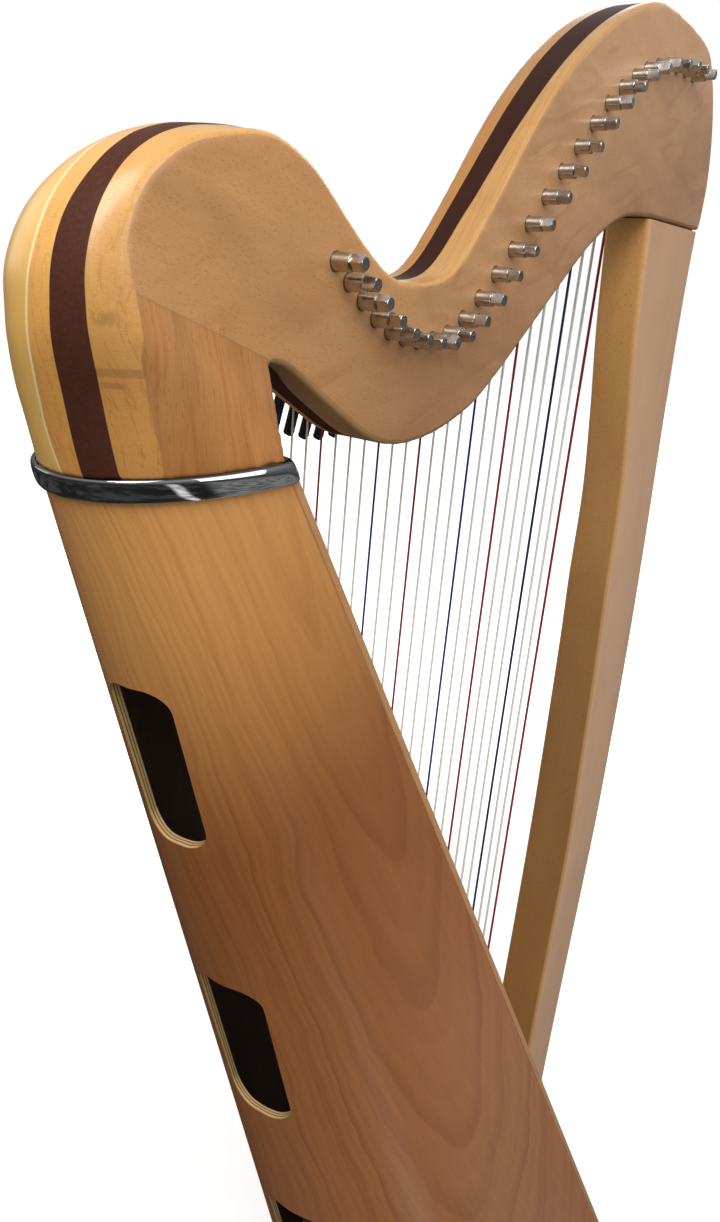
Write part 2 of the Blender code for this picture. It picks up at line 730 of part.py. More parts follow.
# ---------------------------------------------------------------- levers
LEVER_HUB_R = 3.0
LEVER_HUB_SIDES = 10
LEVER_THICK = 3.2
LEVER_TILT = radians(14.0)      # handle hangs a little outward, to the left
LEVER_REACH = 26.0              # pivot to handle tip
LEVER_HANDLE_DY = 0.9           # handle's middle to the left of the pivot
LEVER_TIP_STEPS = 6


def lever_mesh():
    """A hub along X and a flat paddle with a rounded tip hanging from it."""
    hub = rod("lever_hub", LEVER_HUB_SIDES, LEVER_HUB_R, LEVER_WIDTH, (0, 0, 0), ALONG_X)
    put(hub, BLACK, guides)
    half = LEVER_WIDTH / 2
    outline = [(-half, 0.0), (half, 0.0)]
    for q in range(LEVER_TIP_STEPS + 1):
        angle = radians(-180 * q / LEVER_TIP_STEPS)
        outline.append((half * cos(angle), -LEVER_REACH + half + half * sin(angle)))
    place = (Matrix.Rotation(LEVER_TILT, 4, 'X')
             @ Matrix.Translation((0, LEVER_HANDLE_DY * MM, 0)) @ UPRIGHT)
    boolean(hub, outline_solid("lever_handle", outline, LEVER_THICK, place), 'UNION')
    return baked_mesh(hub, "lever", BLACK)


def make_levers():
    """One lever for every string but the shortest."""
    mesh = lever_mesh()
    for i in range(1, STRINGS):
        x, z = lever_xz(i)
        lever = bpy.data.objects.new("lever_%02d" % (i + 1), mesh)
        harp.objects.link(lever)
        lever.location = (x * MM, LEVER_PIVOT_Y * MM, z * MM)


make_neck()
make_pillar()
make_shell()
make_board()
make_band()
make_base()
make_strings()
make_pins()
make_levers()
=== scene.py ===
"""A 27-string lever harp: soundbox, neck, pillar, strings, tuning pins, levers and base.

It stands on z = 0. +X points from the player to the pillar, +Y is the player's left, and
the strings hang in the plane y = 0. Lengths are millimetres, turned to metres by MM;
the stage, lights and camera are placed in metres.
"""
import json
import math
from math import sin, cos, pi, radians, sqrt

import bmesh
import bpy
from mathutils import Matrix, Vector


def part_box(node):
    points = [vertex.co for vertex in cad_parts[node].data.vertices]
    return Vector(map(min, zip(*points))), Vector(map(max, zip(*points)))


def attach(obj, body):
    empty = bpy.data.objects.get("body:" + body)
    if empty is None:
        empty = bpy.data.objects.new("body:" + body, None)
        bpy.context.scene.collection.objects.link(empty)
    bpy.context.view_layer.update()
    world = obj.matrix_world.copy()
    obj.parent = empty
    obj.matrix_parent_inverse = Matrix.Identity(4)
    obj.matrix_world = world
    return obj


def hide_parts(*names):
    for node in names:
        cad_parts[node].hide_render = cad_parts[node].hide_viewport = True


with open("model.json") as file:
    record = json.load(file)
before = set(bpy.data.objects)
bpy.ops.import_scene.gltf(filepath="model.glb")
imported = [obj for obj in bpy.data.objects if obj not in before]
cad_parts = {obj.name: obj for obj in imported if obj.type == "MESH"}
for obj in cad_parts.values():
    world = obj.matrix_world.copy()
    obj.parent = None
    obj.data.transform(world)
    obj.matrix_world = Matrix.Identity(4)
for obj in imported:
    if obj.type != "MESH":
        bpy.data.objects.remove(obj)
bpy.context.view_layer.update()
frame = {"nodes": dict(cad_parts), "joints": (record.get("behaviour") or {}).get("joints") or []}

NODES = frame["nodes"]
JOINTS = {joint["child"]: joint for joint in frame["joints"]}
MM = 0.001


def joint_place(name):
    return [value / MM for value in JOINTS[name]["pos_m"]]


# ------------------------------------------------------------------ shared dimensions
STRINGS = 27
PINS = []                               # x and z of each tuning pin's axis
for number in range(1, STRINGS + 1):
    pin_x, _, pin_z = joint_place("tuning_pin_%02d" % number)
    PINS.append((pin_x, pin_z))

NECK_RIGHT, NECK_LEFT = -44.0, -12.0    # y of the plank's faces
NECK_MID = (NECK_RIGHT + NECK_LEFT) / 2
PIN_R = 3.75
STRING_DX = 0.5                         # a string hangs this far in front of its pin's axis
NUT_DROP = 19.0                         # bridge pin below tuning pin
BRACKET_T = 1.5

# The soundbox is half an elliptical cone behind the flat soundboard.
BOX_LEAN = radians(28.0)
BOX_TOP = Vector((-336.2, 0.0, 914.3))
BOX_HALF = (49.05, 0.110)               # half width at the top, growth per mm down the box
BOX_DEPTH = (68.6, 0.198)               # depth at the top, growth per mm down the box
BOX_WALL = 5.0
BOX_FOOT_Z = 35.6
BOARD_THICK = 4.0
DOWN = Vector((sin(BOX_LEAN), 0, -cos(BOX_LEAN)))       # down the box's length
BACK = Vector((-cos(BOX_LEAN), 0, -sin(BOX_LEAN)))      # out of the box's back
FACE = -BACK                                            # out of the soundboard
SIDE = Vector((0, 1, 0))

BAND_Z, BAND_X, BAND_TIP = 909.6, -332.0, 0.0723        # top edge at BAND_X, rise per mm of x
BAND_TALL, BAND_THICK = 10.0, 2.4

TO_Y = Matrix.Rotation(radians(-90), 4, 'X')            # +Z onto +Y
TO_X = Matrix.Rotation(radians(90), 4, 'Y')             # +Z onto +X
UPRIGHT = Matrix.Rotation(radians(90), 4, 'X')          # an (x, z) outline; thickness along -Y


# ------------------------------------------------------------------ curves and the box's shape
def catmull(points, steps):
    """A Catmull-Rom line through the points."""
    line, last = [], len(points) - 1
    for i in range(last):
        p = [Vector(points[min(max(i + k, 0), last)]) for k in (-1, 0, 1, 2)]
        for q in range(steps):
            u = q / steps
            line.append(0.5 * ((2 * p[1]) + (p[2] - p[0]) * u
                               + (2 * p[0] - 5 * p[1] + 4 * p[2] - p[3]) * u * u
                               + (3 * p[1] - p[0] - 3 * p[2] + p[3]) * u ** 3))
    line.append(Vector(points[-1]))
    return line


def hermite(table, x):
    """The table's smooth value at x, level beyond its ends."""
    def slope(j):
        a, b = table[max(j - 1, 0)], table[min(j + 1, len(table) - 1)]
        return (b[1] - a[1]) / (b[0] - a[0])

    if x <= table[0][0]:
        return table[0][1]
    for i, ((x0, y0), (x1, y1)) in enumerate(zip(table, table[1:])):
        if x <= x1:
            h = x1 - x0
            u = (x - x0) / h
            return ((2 * u ** 3 - 3 * u * u + 1) * y0
                    + (u ** 3 - 2 * u * u + u) * h * slope(i)
                    + (-2 * u ** 3 + 3 * u * u) * y1
                    + (u ** 3 - u * u) * h * slope(i + 1))
    return table[-1][1]


def eased(points, pitch=2.5, passes=14):
    """The line resampled evenly and relaxed, its two ends kept."""
    line, left = [Vector(points[0])], pitch
    for a, b in zip(points, points[1:]):
        length = (b - a).length
        at = left
        while at <= length:
            line.append(a + (b - a) * (at / length))
            at += pitch
        left = at - length
    line.append(Vector(points[-1]))
    for _ in range(passes):
        inner = [line[i] * 0.5 + (line[i - 1] + line[i + 1]) * 0.25
                 for i in range(1, len(line) - 1)]
        line = [line[0]] + inner + [line[-1]]
    return [(p.x, p.y) for p in line]


def corner_arcs(corners, radius, steps):
    """Quarter circles; a corner is its centre's x and y and its first angle in degrees."""
    points = []
    for x, y, start in corners:
        for q in range(steps + 1):
            a = radians(start + 90 * q / steps)
            points.append((x + radius * cos(a), y + radius * sin(a)))
    return points


def half_width(s, grow=0.0):
    return BOX_HALF[0] + BOX_HALF[1] * s + grow


def box_depth(s, grow=0.0):
    return BOX_DEPTH[0] + BOX_DEPTH[1] * s + grow


def box_point(s, t, grow=0.0):
    """s mm down the box, t round its back from 0 at the right edge to pi at the left."""
    return (BOX_TOP + DOWN * s + Vector((0, -half_width(s, grow) * cos(t), 0))
            + BACK * (box_depth(s, grow) * sin(t)))


def box_cut(t, z, x=0.0, tip=0.0):
    """s where the skin at t meets the plane through (x, z) rising tip per mm of x."""
    lean_sin, lean_cos = sin(BOX_LEAN), cos(BOX_LEAN)
    swell = (lean_sin - tip * lean_cos)
    over = (BOX_TOP[2] - tip * BOX_TOP[0]) - swell * BOX_DEPTH[0] * sin(t) - (z - tip * x)
    return over / (lean_cos + tip * lean_sin + swell * BOX_DEPTH[1] * sin(t))


def band_cut(t, lift):
    return box_cut(t, BAND_Z + lift, BAND_X, BAND_TIP)


def board_x(z):
    return BOX_TOP[0] + (BOX_TOP[2] - z) * math.tan(BOX_LEAN)


def basis(ex, ey, ez, origin):
    matrix = Matrix.Identity(4)
    for column, axis in enumerate((ex, ey, ez)):
        for row in range(3):
            matrix[row][column] = axis[row]
    matrix.translation = origin
    return matrix


# ------------------------------------------------------------------ mesh helpers
def add(name, mesh, material=None, smooth=None):
    ob = bpy.data.objects.new(name, mesh)
    bpy.context.scene.collection.objects.link(ob)
    if material is not None:
        mesh.materials.clear()
        mesh.materials.append(material)
    if smooth is not None:
        soften(mesh, smooth)
    return ob


def soften(mesh, degrees):
    mesh.shade_smooth()
    mesh.set_sharp_from_angle(angle=radians(degrees))


def part(name, mesh, material, body="frame", replaces=None, smooth=None):
    """A finished piece, tied to the body it moves with."""
    ob = add(name, mesh, material, smooth)
    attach(ob, body)
    if replaces:
        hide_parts(replaces)


def bm_mesh(bm, name, recalc=True):
    if recalc:
        bmesh.ops.recalc_face_normals(bm, faces=bm.faces)
    mesh = bpy.data.meshes.new(name)
    bm.to_mesh(mesh)
    bm.free()
    return mesh


def baked(ob, name):
    """The evaluated mesh, with the object it came from removed."""
    bpy.context.view_layer.update()
    graph = bpy.context.evaluated_depsgraph_get()
    mesh = bpy.data.meshes.new_from_object(ob.evaluated_get(graph))
    mesh.transform(ob.matrix_world)
    bpy.data.objects.remove(ob, do_unlink=True)
    mesh.name = name
    return mesh


def bevelled(mesh, name, width, segments, angle):
    ob = add(name + "_tmp", mesh)
    bevel = ob.modifiers.new("rim", 'BEVEL')
    bevel.width = width * MM
    bevel.segments = segments
    bevel.limit_method = 'ANGLE'
    bevel.angle_limit = radians(angle)
    return baked(ob, name)


def cut_away(ob, tools, name):
    """The object's mesh with every tool cut out of it."""
    for tool in tools:
        cut = ob.modifiers.new(tool.name, 'BOOLEAN')
        cut.operation = 'DIFFERENCE'
        cut.solver = 'EXACT'
        cut.object = tool
    mesh = baked(ob, name)
    for tool in tools:
        bpy.data.objects.remove(tool, do_unlink=True)
    return mesh


def flat_solid(name, points, z0, z1, matrix, bevel=0.0, segments=3):
    """An outline given a thickness from z0 to z1 in the matrix's frame, its rims rounded."""
    curve = bpy.data.curves.new(name, 'CURVE')
    curve.dimensions = '2D'
    curve.fill_mode = 'BOTH'
    curve.extrude = (z1 - z0) * MM / 2
    spline = curve.splines.new('POLY')
    spline.points.add(len(points) - 1)
    for target, point in zip(spline.points, points):
        target.co = (point[0] * MM, point[1] * MM, 0, 1)
    spline.use_cyclic_u = True
    mesh = baked(add(name + "_tmp", curve), name)
    mesh.transform(Matrix.Translation((0, 0, (z0 + z1) / 2 * MM)))
    mesh.transform(matrix)
    bm = bmesh.new()
    bm.from_mesh(mesh)
    bmesh.ops.remove_doubles(bm, verts=bm.verts, dist=1e-6)
    bmesh.ops.dissolve_limit(bm, angle_limit=radians(0.05), verts=bm.verts, edges=bm.edges)
    bmesh.ops.recalc_face_normals(bm, faces=bm.faces)
    bm.to_mesh(mesh)
    bm.free()
    if bevel:
        mesh = bevelled(mesh, name, bevel, segments, angle=50)
    return mesh


def stitch(bm, rows):
    """Quads between neighbouring closed rows of vertices."""
    for a, b in zip(rows, rows[1:]):
        for k in range(len(a)):
            kk = (k + 1) % len(a)
            bm.faces.new((a[k], a[kk], b[kk], b[k]))


def cap(bm, rows):
    bm.faces.new(list(reversed(rows[0])))
    bm.faces.new(rows[-1])


def loft_mesh(name, rings):
    bm = bmesh.new()
    rows = [[bm.verts.new(Vector(p) * MM) for p in ring] for ring in rings]
    stitch(bm, rows)
    cap(bm, rows)
    return bm_mesh(bm, name)


def circle(bm, radius, height, matrix, sides):
    return [bm.verts.new(matrix @ Vector((radius * cos(2 * pi * k / sides) * MM,
                                          radius * sin(2 * pi * k / sides) * MM, height * MM)))
            for k in range(sides)]


def lathe(bm, profile, matrix, sides=32):
    """Turned solid: profile of (radius, height) round the matrix's Z axis."""
    rows = []
    for radius, height in profile:
        if radius < 1e-6:
            rows.append([bm.verts.new(matrix @ Vector((0, 0, height * MM)))])
        else:
            rows.append(circle(bm, radius, height, matrix, sides))
    for a, b in zip(rows, rows[1:]):
        for k in range(sides):
            kk = (k + 1) % sides
            if len(a) == 1:
                bm.faces.new((a[0], b[k], b[kk]))
            elif len(b) == 1:
                bm.faces.new((a[k], a[kk], b[0]))
            else:
                bm.faces.new((a[k], a[kk], b[kk], b[k]))
    if len(rows[0]) > 1:
        bm.faces.new(list(reversed(rows[0])))
    if len(rows[-1]) > 1:
        bm.faces.new(rows[-1])


def tube_mesh(name, path, radius, sides):
    """Round wire along the path, with capped ends."""
    bm = bmesh.new()
    points = [Vector(p) for p in path]
    e1 = Vector((0.123, 0.456, 0.881)).normalized()
    rows = []
    for i, p in enumerate(points):
        d = (points[min(i + 1, len(points) - 1)] - points[max(i - 1, 0)]).normalized()
        e1 = (e1 - d * e1.dot(d)).normalized()
        e2 = d.cross(e1)
        rows.append([bm.verts.new((p + (e1 * cos(2 * pi * k / sides)
                                        + e2 * sin(2 * pi * k / sides)) * radius) * MM)
                     for k in range(sides)])
    stitch(bm, rows)
    cap(bm, rows)
    return bm_mesh(bm, name)


# ------------------------------------------------------------------ shader helpers
class Value:
    """A number, vector or colour in a node tree; working on it adds nodes."""

    def __init__(self, shader, socket):
        self.shader = shader
        self.socket = socket

    def op(self, kind, *operands):
        return self.shader.math(kind, self, *operands)

    def __add__(self, other): return self.op('ADD', other)
    def __radd__(self, other): return self.shader.math('ADD', other, self)
    def __sub__(self, other): return self.op('SUBTRACT', other)
    def __rsub__(self, other): return self.shader.math('SUBTRACT', other, self)
    def __mul__(self, other): return self.op('MULTIPLY', other)
    def __truediv__(self, other): return self.op('DIVIDE', other)
    def __pow__(self, other): return self.op('POWER', other)
    def __abs__(self): return self.op('ABSOLUTE')
    def max(self, other): return self.op('MAXIMUM', other)
    def min(self, other): return self.op('MINIMUM', other)
    def fract(self): return self.op('FRACT')
    def sqrt(self): return self.op('SQRT')

    def mad(self, factor, offset):
        return self.op('MULTIPLY_ADD', factor, offset)

    def swing(self, width):
        """A noise turned into a factor around 1."""
        return 1.0 + (self - 0.5) * width

    def map01(self, low, high, kind):
        return self.shader.result('ShaderNodeMapRange',
                                  {'Value': self, 'From Min': low, 'From Max': high},
                                  interpolation_type=kind)

    def step(self, low, high):
        """0 below low, 1 above high, smooth between; falls instead if low is above high."""
        if low > high:
            return 1.0 - self.step(high, low)
        return self.map01(low, high, 'SMOOTHSTEP')

    def blend(self, at_0, at_1):
        """A number that is at_0 where this is 0 and at_1 where it is 1."""
        return self.shader.result('ShaderNodeMix', {'Factor': self, 2: at_0, 3: at_1},
                                  data_type='FLOAT')

    def curve(self, points):
        """A smooth line through the points, level beyond its ends."""
        xs, ys = [p[0] for p in points], [p[1] for p in points]
        x0, x1, y0, y1 = min(xs), max(xs), min(ys), max(ys)
        node = self.shader.node('ShaderNodeFloatCurve')
        line = node.mapping.curves[0]
        while len(line.points) < len(points):
            line.points.new(0.5, 0.5)
        for p, (x, y) in zip(line.points, sorted(points)):
            p.location = ((x - x0) / (x1 - x0), (y - y0) / (y1 - y0))
            p.handle_type = 'AUTO'
        node.mapping.update()
        self.shader.put(node.inputs['Value'], self.map01(x0, x1, 'LINEAR'))
        return Value(self.shader, node.outputs[0]).mad(y1 - y0, y0)

    # colours
    def mix(self, other, amount):
        return self.shader.mix(self, other, amount)

    def times(self, by):
        return self.shader.mix(self, by, 1.0, 'MULTIPLY')

    def tint(self, by, amount):
        return self.mix(self.times(by), amount)

    def scale(self, by):
        return self.shader.scale(self, by)

    def dim(self, by, amount):
        return self.mix(self.scale(by), amount)


class Shader:
    """The node tree of a material or world."""

    def __init__(self, owner, output='ShaderNodeOutputMaterial'):
        owner.use_nodes = True
        self.owner = owner
        self.tree = owner.node_tree
        self.tree.nodes.clear()
        self.output = self.node(output)

    def node(self, kind, inputs=None, **settings):
        node = self.tree.nodes.new(kind)
        for key, value in settings.items():
            setattr(node, key, value)
        for key, value in (inputs or {}).items():
            self.put(node.inputs[key], value)
        return node

    def result(self, kind, inputs=None, output=0, **settings):
        return Value(self, self.node(kind, inputs, **settings).outputs[output])

    def put(self, socket, value):
        if isinstance(value, (int, float)):
            socket.default_value = value
        elif isinstance(value, tuple):
            socket.default_value = (value + (1.0,))[:len(socket.default_value)]
        else:
            source = value.socket if isinstance(value, Value) else value
            self.tree.links.new(source, socket)

    def math(self, kind, a, b=0.0, c=0.0):
        return self.result('ShaderNodeMath', {0: a, 1: b, 2: c}, operation=kind)

    def mix(self, a, b, amount, mode='MIX'):
        return self.result('ShaderNodeMix', {'Factor': amount, 6: a, 7: b}, 2,
                           data_type='RGBA', blend_type=mode)

    def scale(self, vector, by):
        return self.result('ShaderNodeVectorMath', {0: vector, 'Scale': by}, operation='SCALE')

    def split(self, vector):
        node = self.node('ShaderNodeSeparateXYZ', {0: vector})
        return [Value(self, socket) for socket in node.outputs]

    def noise(self, *axes, detail=2.0, rough=0.5, distort=0.0):
        """Noise at three axes: each a number, (value, frequency) or (value, frequency, shift)."""
        placed = {}
        for i, axis in enumerate(axes):
            if isinstance(axis, tuple):
                axis = axis[0] * axis[1] if len(axis) == 2 else axis[0].mad(*axis[1:])
            placed[i] = axis
        vector = self.result('ShaderNodeCombineXYZ', placed)
        return self.result('ShaderNodeTexNoise',
                           {'Vector': vector, 'Scale': 1.0, 'Detail': detail,
                            'Roughness': rough, 'Distortion': distort}, 'Fac')

    def coords(self):
        """Object place in millimetres: x, y, z."""
        self.place = self.node('ShaderNodeTexCoord')
        return self.split(self.scale(self.place.outputs['Object'], 1000.0))

    def normal(self):
        """The object normal's x, y, z; coords() comes first."""
        return self.split(self.place.outputs['Normal'])

    def ramp(self, factor, stops, interpolation):
        """A colour ramp through stops of (position, colour)."""
        node = self.node('ShaderNodeValToRGB', {'Fac': factor})
        node.color_ramp.interpolation = interpolation
        elements = node.color_ramp.elements
        while len(elements) < len(stops):
            elements.new(0.5)
        for element, (position, colour) in zip(elements, stops):
            element.position = position
            element.color = (*colour, 1)
        return Value(self, node.outputs['Color'])

    def bump(self, height, strength, distance):
        return self.result('ShaderNodeBump', {'Strength': strength, 'Distance': distance,
                                              'Height': height}, 'Normal')

    def finish(self, colour, rough, metal=0.0, normal=None, coat=0.0, coat_rough=0.2, spec=0.5,
               ior=1.5):
        inputs = {'Base Color': colour, 'Roughness': rough, 'Metallic': metal,
                  'Coat Weight': coat, 'Coat Roughness': coat_rough,
                  'Specular IOR Level': spec, 'IOR': ior}
        if normal is not None:
            inputs['Normal'] = normal
        surface = self.result('ShaderNodeBsdfPrincipled', inputs, 'BSDF')
        self.put(self.output.inputs['Surface'], surface)
        self.owner.diffuse_color = (0.6, 0.4, 0.2, 1)
        return self.owner


def new_material(name):
    return Shader(bpy.data.materials.new(name))


def wood(N, along, across, depth, base, fleck=0.5, figure=0.10, streak=0.10, seed=0.0,
         fleck_len=1.0, thin=1.0, many=0.0):
    """Beech: short dark rays along the grain, fine fibres and slow waves of tone.

    along, across and depth are millimetres in the grain's frame. fleck, figure and streak
    are strengths; fleck_len, thin and many shape the rays. Gives colour, rays and fibres.
    """
    fine = N.noise((along, 0.035, seed), (across, 1.5), (depth, 0.8), detail=3, rough=0.6)
    broad = N.noise((along, 0.006, seed + 3.7), (across, 0.055), (depth, 0.03), detail=3,
                    distort=0.6)
    wave = N.noise((along, 0.010, seed + 9.1), (across, 0.020), (depth, 0.02), distort=1.2)
    coarse_rays = N.noise((along, 0.30 / fleck_len, seed + 1.3), (across, 1.35 * thin),
                          (depth, 0.6), detail=1.0)
    fine_rays = N.noise((along, 0.42 / fleck_len, seed + 5.9), (across, 2.2 * thin),
                        (depth, 0.9), detail=1.0)
    rays = coarse_rays.step(0.655 - many, 0.74 - many).max(
        fine_rays.step(0.66 - many, 0.75 - many) * 0.7)
    tone = fine.swing(streak)
    tone = tone * broad.swing(figure * 2.2)
    tone = tone * wave.swing(figure * 1.8)
    colour = N.scale(base, tone)
    dark = colour.scale(0.55).times((1.0, 0.86, 0.74))
    colour = colour.mix(dark, rays * fleck)
    # darker waves lean a little to red
    colour = colour.tint(by=(0.96, 0.88, 0.80), amount=wave.step(0.5, 0.3) * 0.35)
    return colour, rays, fine


def relief(fine, rays):
    """Bump height of wood: raised fibres, sunken rays."""
    return fine * 0.5 - rays * 0.8


def down_box(x, z):
    return x * sin(BOX_LEAN) - z * cos(BOX_LEAN)


# ------------------------------------------------------------------ neck material
GRAIN_FALL = radians(-14)               # plank grain runs a little downhill to the pillar
SWEEP_RISE = radians(19)                # long figure lines run uphill

# x where the plank's face stops against the shoulder: (z, x)
FACE_LAP = ((969, -402.0), (974, -403.5), (980, -404.8), (986, -405.9), (991, -406.9),
            (1000, -408.6), (1010, -410.5))
# borders of the dark core lamination: (x, y) along the top and underneath, (z, y) on the back
CORE_RIGHT_TOP = ((-380, -36.6), (-340, -34.5), (-300, -31.0), (-250, -29.7), (-200, -29.7),
                  (-174, -31.4), (-150, -34.1), (-123, -36.4), (-80, -37.0), (40, -36.5))
CORE_RIGHT_BACK = ((907, -25.2), (920, -27.3), (934, -30.1), (948, -33.7), (960, -36.0),
                   (972, -37.2), (990, -37.4), (1008, -36.9), (1019, -36.4))
CORE_RIGHT_UNDER = ((-332, -35.0), (-320, -32.8), (-298, -27.5), (-200, -27.5))
CORE_LEFT_TOP = ((-380, -27.6), (-340, -24.5), (-300, -21.0), (-250, -19.4), (-186, -19.4),
                 (-160, -20.6), (-132, -21.7), (-98, -20.9), (60, -22.0))
CORE_LEFT_BACK = ((906, -13.2), (918, -15.3), (933, -19.0), (947, -22.8), (960, -25.6),
                  (972, -27.5), (989, -28.5), (1007, -29.2), (1018, -27.6))
CORE_LEFT_UNDER = -17.5
# where the shoulder's left cheek begins: (z, y)
LEFT_CHEEK = ((906, -4.1), (917, -4.9), (932, -8.8), (946, -13.3), (959, -16.4), (971, -19.0),
              (983, -21.0), (995, -21.6), (1014, -20.8))
# back edge of the right cheek: (z, x)
RIGHT_CHEEK = ((908, -382.5), (920, -386.9), (935, -392.8), (948, -397.6), (955, -398.9),
               (968, -401.6))


def neck_face(N, along, across, x, y, z):
    """The plank's flat sides."""
    colour, rays, fine = wood(N, along, across, y, base=(0.530, 0.282, 0.117), fleck=0.50,
                              figure=0.20, fleck_len=0.58, thin=1.8, many=0.045)
    # a few long thin figure lines sweeping across
    up_along = x * cos(SWEEP_RISE) + z * sin(SWEEP_RISE)
    up_across = z * cos(SWEEP_RISE) - x * sin(SWEEP_RISE)
    sweep = N.noise((up_along, 0.0048, 4.0), (up_across, 0.022), (y, 0.01), rough=0.45,
                    distort=0.5)
    phase = (sweep * 8.0).fract()
    vein = phase.step(0.55, 0.97) * phase.step(1.0, 0.975)
    patches = N.noise((up_along, 0.02), (up_across, 0.02), 3.0, detail=1)
    vein = vein * patches.step(0.38, 0.58).blend(0.10, 0.46)
    colour = colour.tint(by=(0.80, 0.69, 0.58), amount=vein)
    # painted shade darkens the face low down by the box; painted cooler light makes it paler
    # towards the pillar
    low = x.mad(-0.45, z).step(1110.0, 1010.0)
    colour = colour.tint(by=(0.74, 0.72, 0.74), amount=low * 0.85)
    colour = colour.times(N.mix((0.98, 0.94, 0.87), (1.12, 1.22, 1.56), x.step(-380.0, 120.0)))
    return colour, relief(fine, rays), fine


def neck_edge(N, along, across, wavy_y, nz, x, y, z):
    """Edges of the outer laminations: golden, with fine lines along and across."""
    stretch = 1.0                       # of the pattern across the grain
    colour, rays, fine = wood(N, along, y * stretch, across, base=(0.690, 0.370, 0.112),
                              fleck=0.12, figure=0.08, streak=0.18, seed=20)
    rings = N.noise((x, 0.05), (y, 0.55), (z, 0.05), distort=0.8)
    lines = abs((z.mad(0.035, y * 0.26) + rings * 1.9).fract() - 0.5).step(0.09, 0.0)
    low = z.step(985, 930)
    shoulder = x.step(-300, -340) * nz.step(0.75, 0.35)
    colour = colour.tint(by=(0.74, 0.62, 0.46),
                         amount=lines * shoulder * low.blend(0.36, 0.62))
    cross = N.noise((x, 0.35), (y, 0.5), (z, 0.02), distort=0.5)
    colour = colour.dim(by=0.80, amount=cross.step(0.55, 0.72) * shoulder * 0.25)
    hair = N.noise((x, 0.25), (y, 0.22), (z, 2.6), detail=1)
    colour = colour.tint(by=(0.78, 0.66, 0.52), amount=hair.step(0.56, 0.68) * shoulder * 0.30)
    colour = colour.tint(by=(0.80, 0.60, 0.36), amount=low * shoulder * 0.46)
    # three smudges rubbed into the right lamination, bounded in z and y
    rub = N.noise((x, 0.16), (y, 0.35), (z, 0.22), detail=3, rough=0.65)
    wide = abs(z - 943.8).step(1.9, 1.1) * wavy_y.step(-31.5, -33.0)
    narrow = (abs(z - 939.4).step(1.4, 0.7) * wavy_y.step(-31.0, -32.5)
              * wavy_y.step(-37.5, -36.0))
    upper = (abs(z - 961.2).step(3.2, 1.4) * wavy_y.step(-36.8, -37.8)
             * wavy_y.step(-42.6, -41.4))
    smudge = wide.max(narrow).max(upper * rub.step(0.42, 0.52))
    smudge = smudge * rub.step(0.25, 0.42) * shoulder
    colour = colour.mix((0.30, 0.135, 0.040), amount=smudge * 0.42)
    return colour, relief(fine, rays)


def right_cheek(N, x, y, z):
    """Wood of the shoulder's right cheek, its grain upright."""
    along = z * 0.98 - x * 0.20
    across = x * 0.98 + z * 0.20
    colour, _, _ = wood(N, along, across, y, base=(0.482, 0.220, 0.070), fleck=0.50,
                        figure=0.24, streak=0.34, seed=60, fleck_len=1.5)
    dark = N.noise((along, 0.012), (across, 0.30), (y, 0.2), detail=3, distort=0.4)
    colour = colour.tint(by=(0.82, 0.66, 0.54), amount=dark.step(0.50, 0.66) * 0.55)
    pale = N.noise((along, 0.02), (across, 0.11), (y, 0.2), distort=0.5)
    colour = colour.tint(by=(1.16, 1.24, 1.50), amount=pale.step(0.50, 0.68) * 0.40)
    return colour.tint(by=(0.88, 0.78, 0.60), amount=z.step(945, 905) * 0.85)


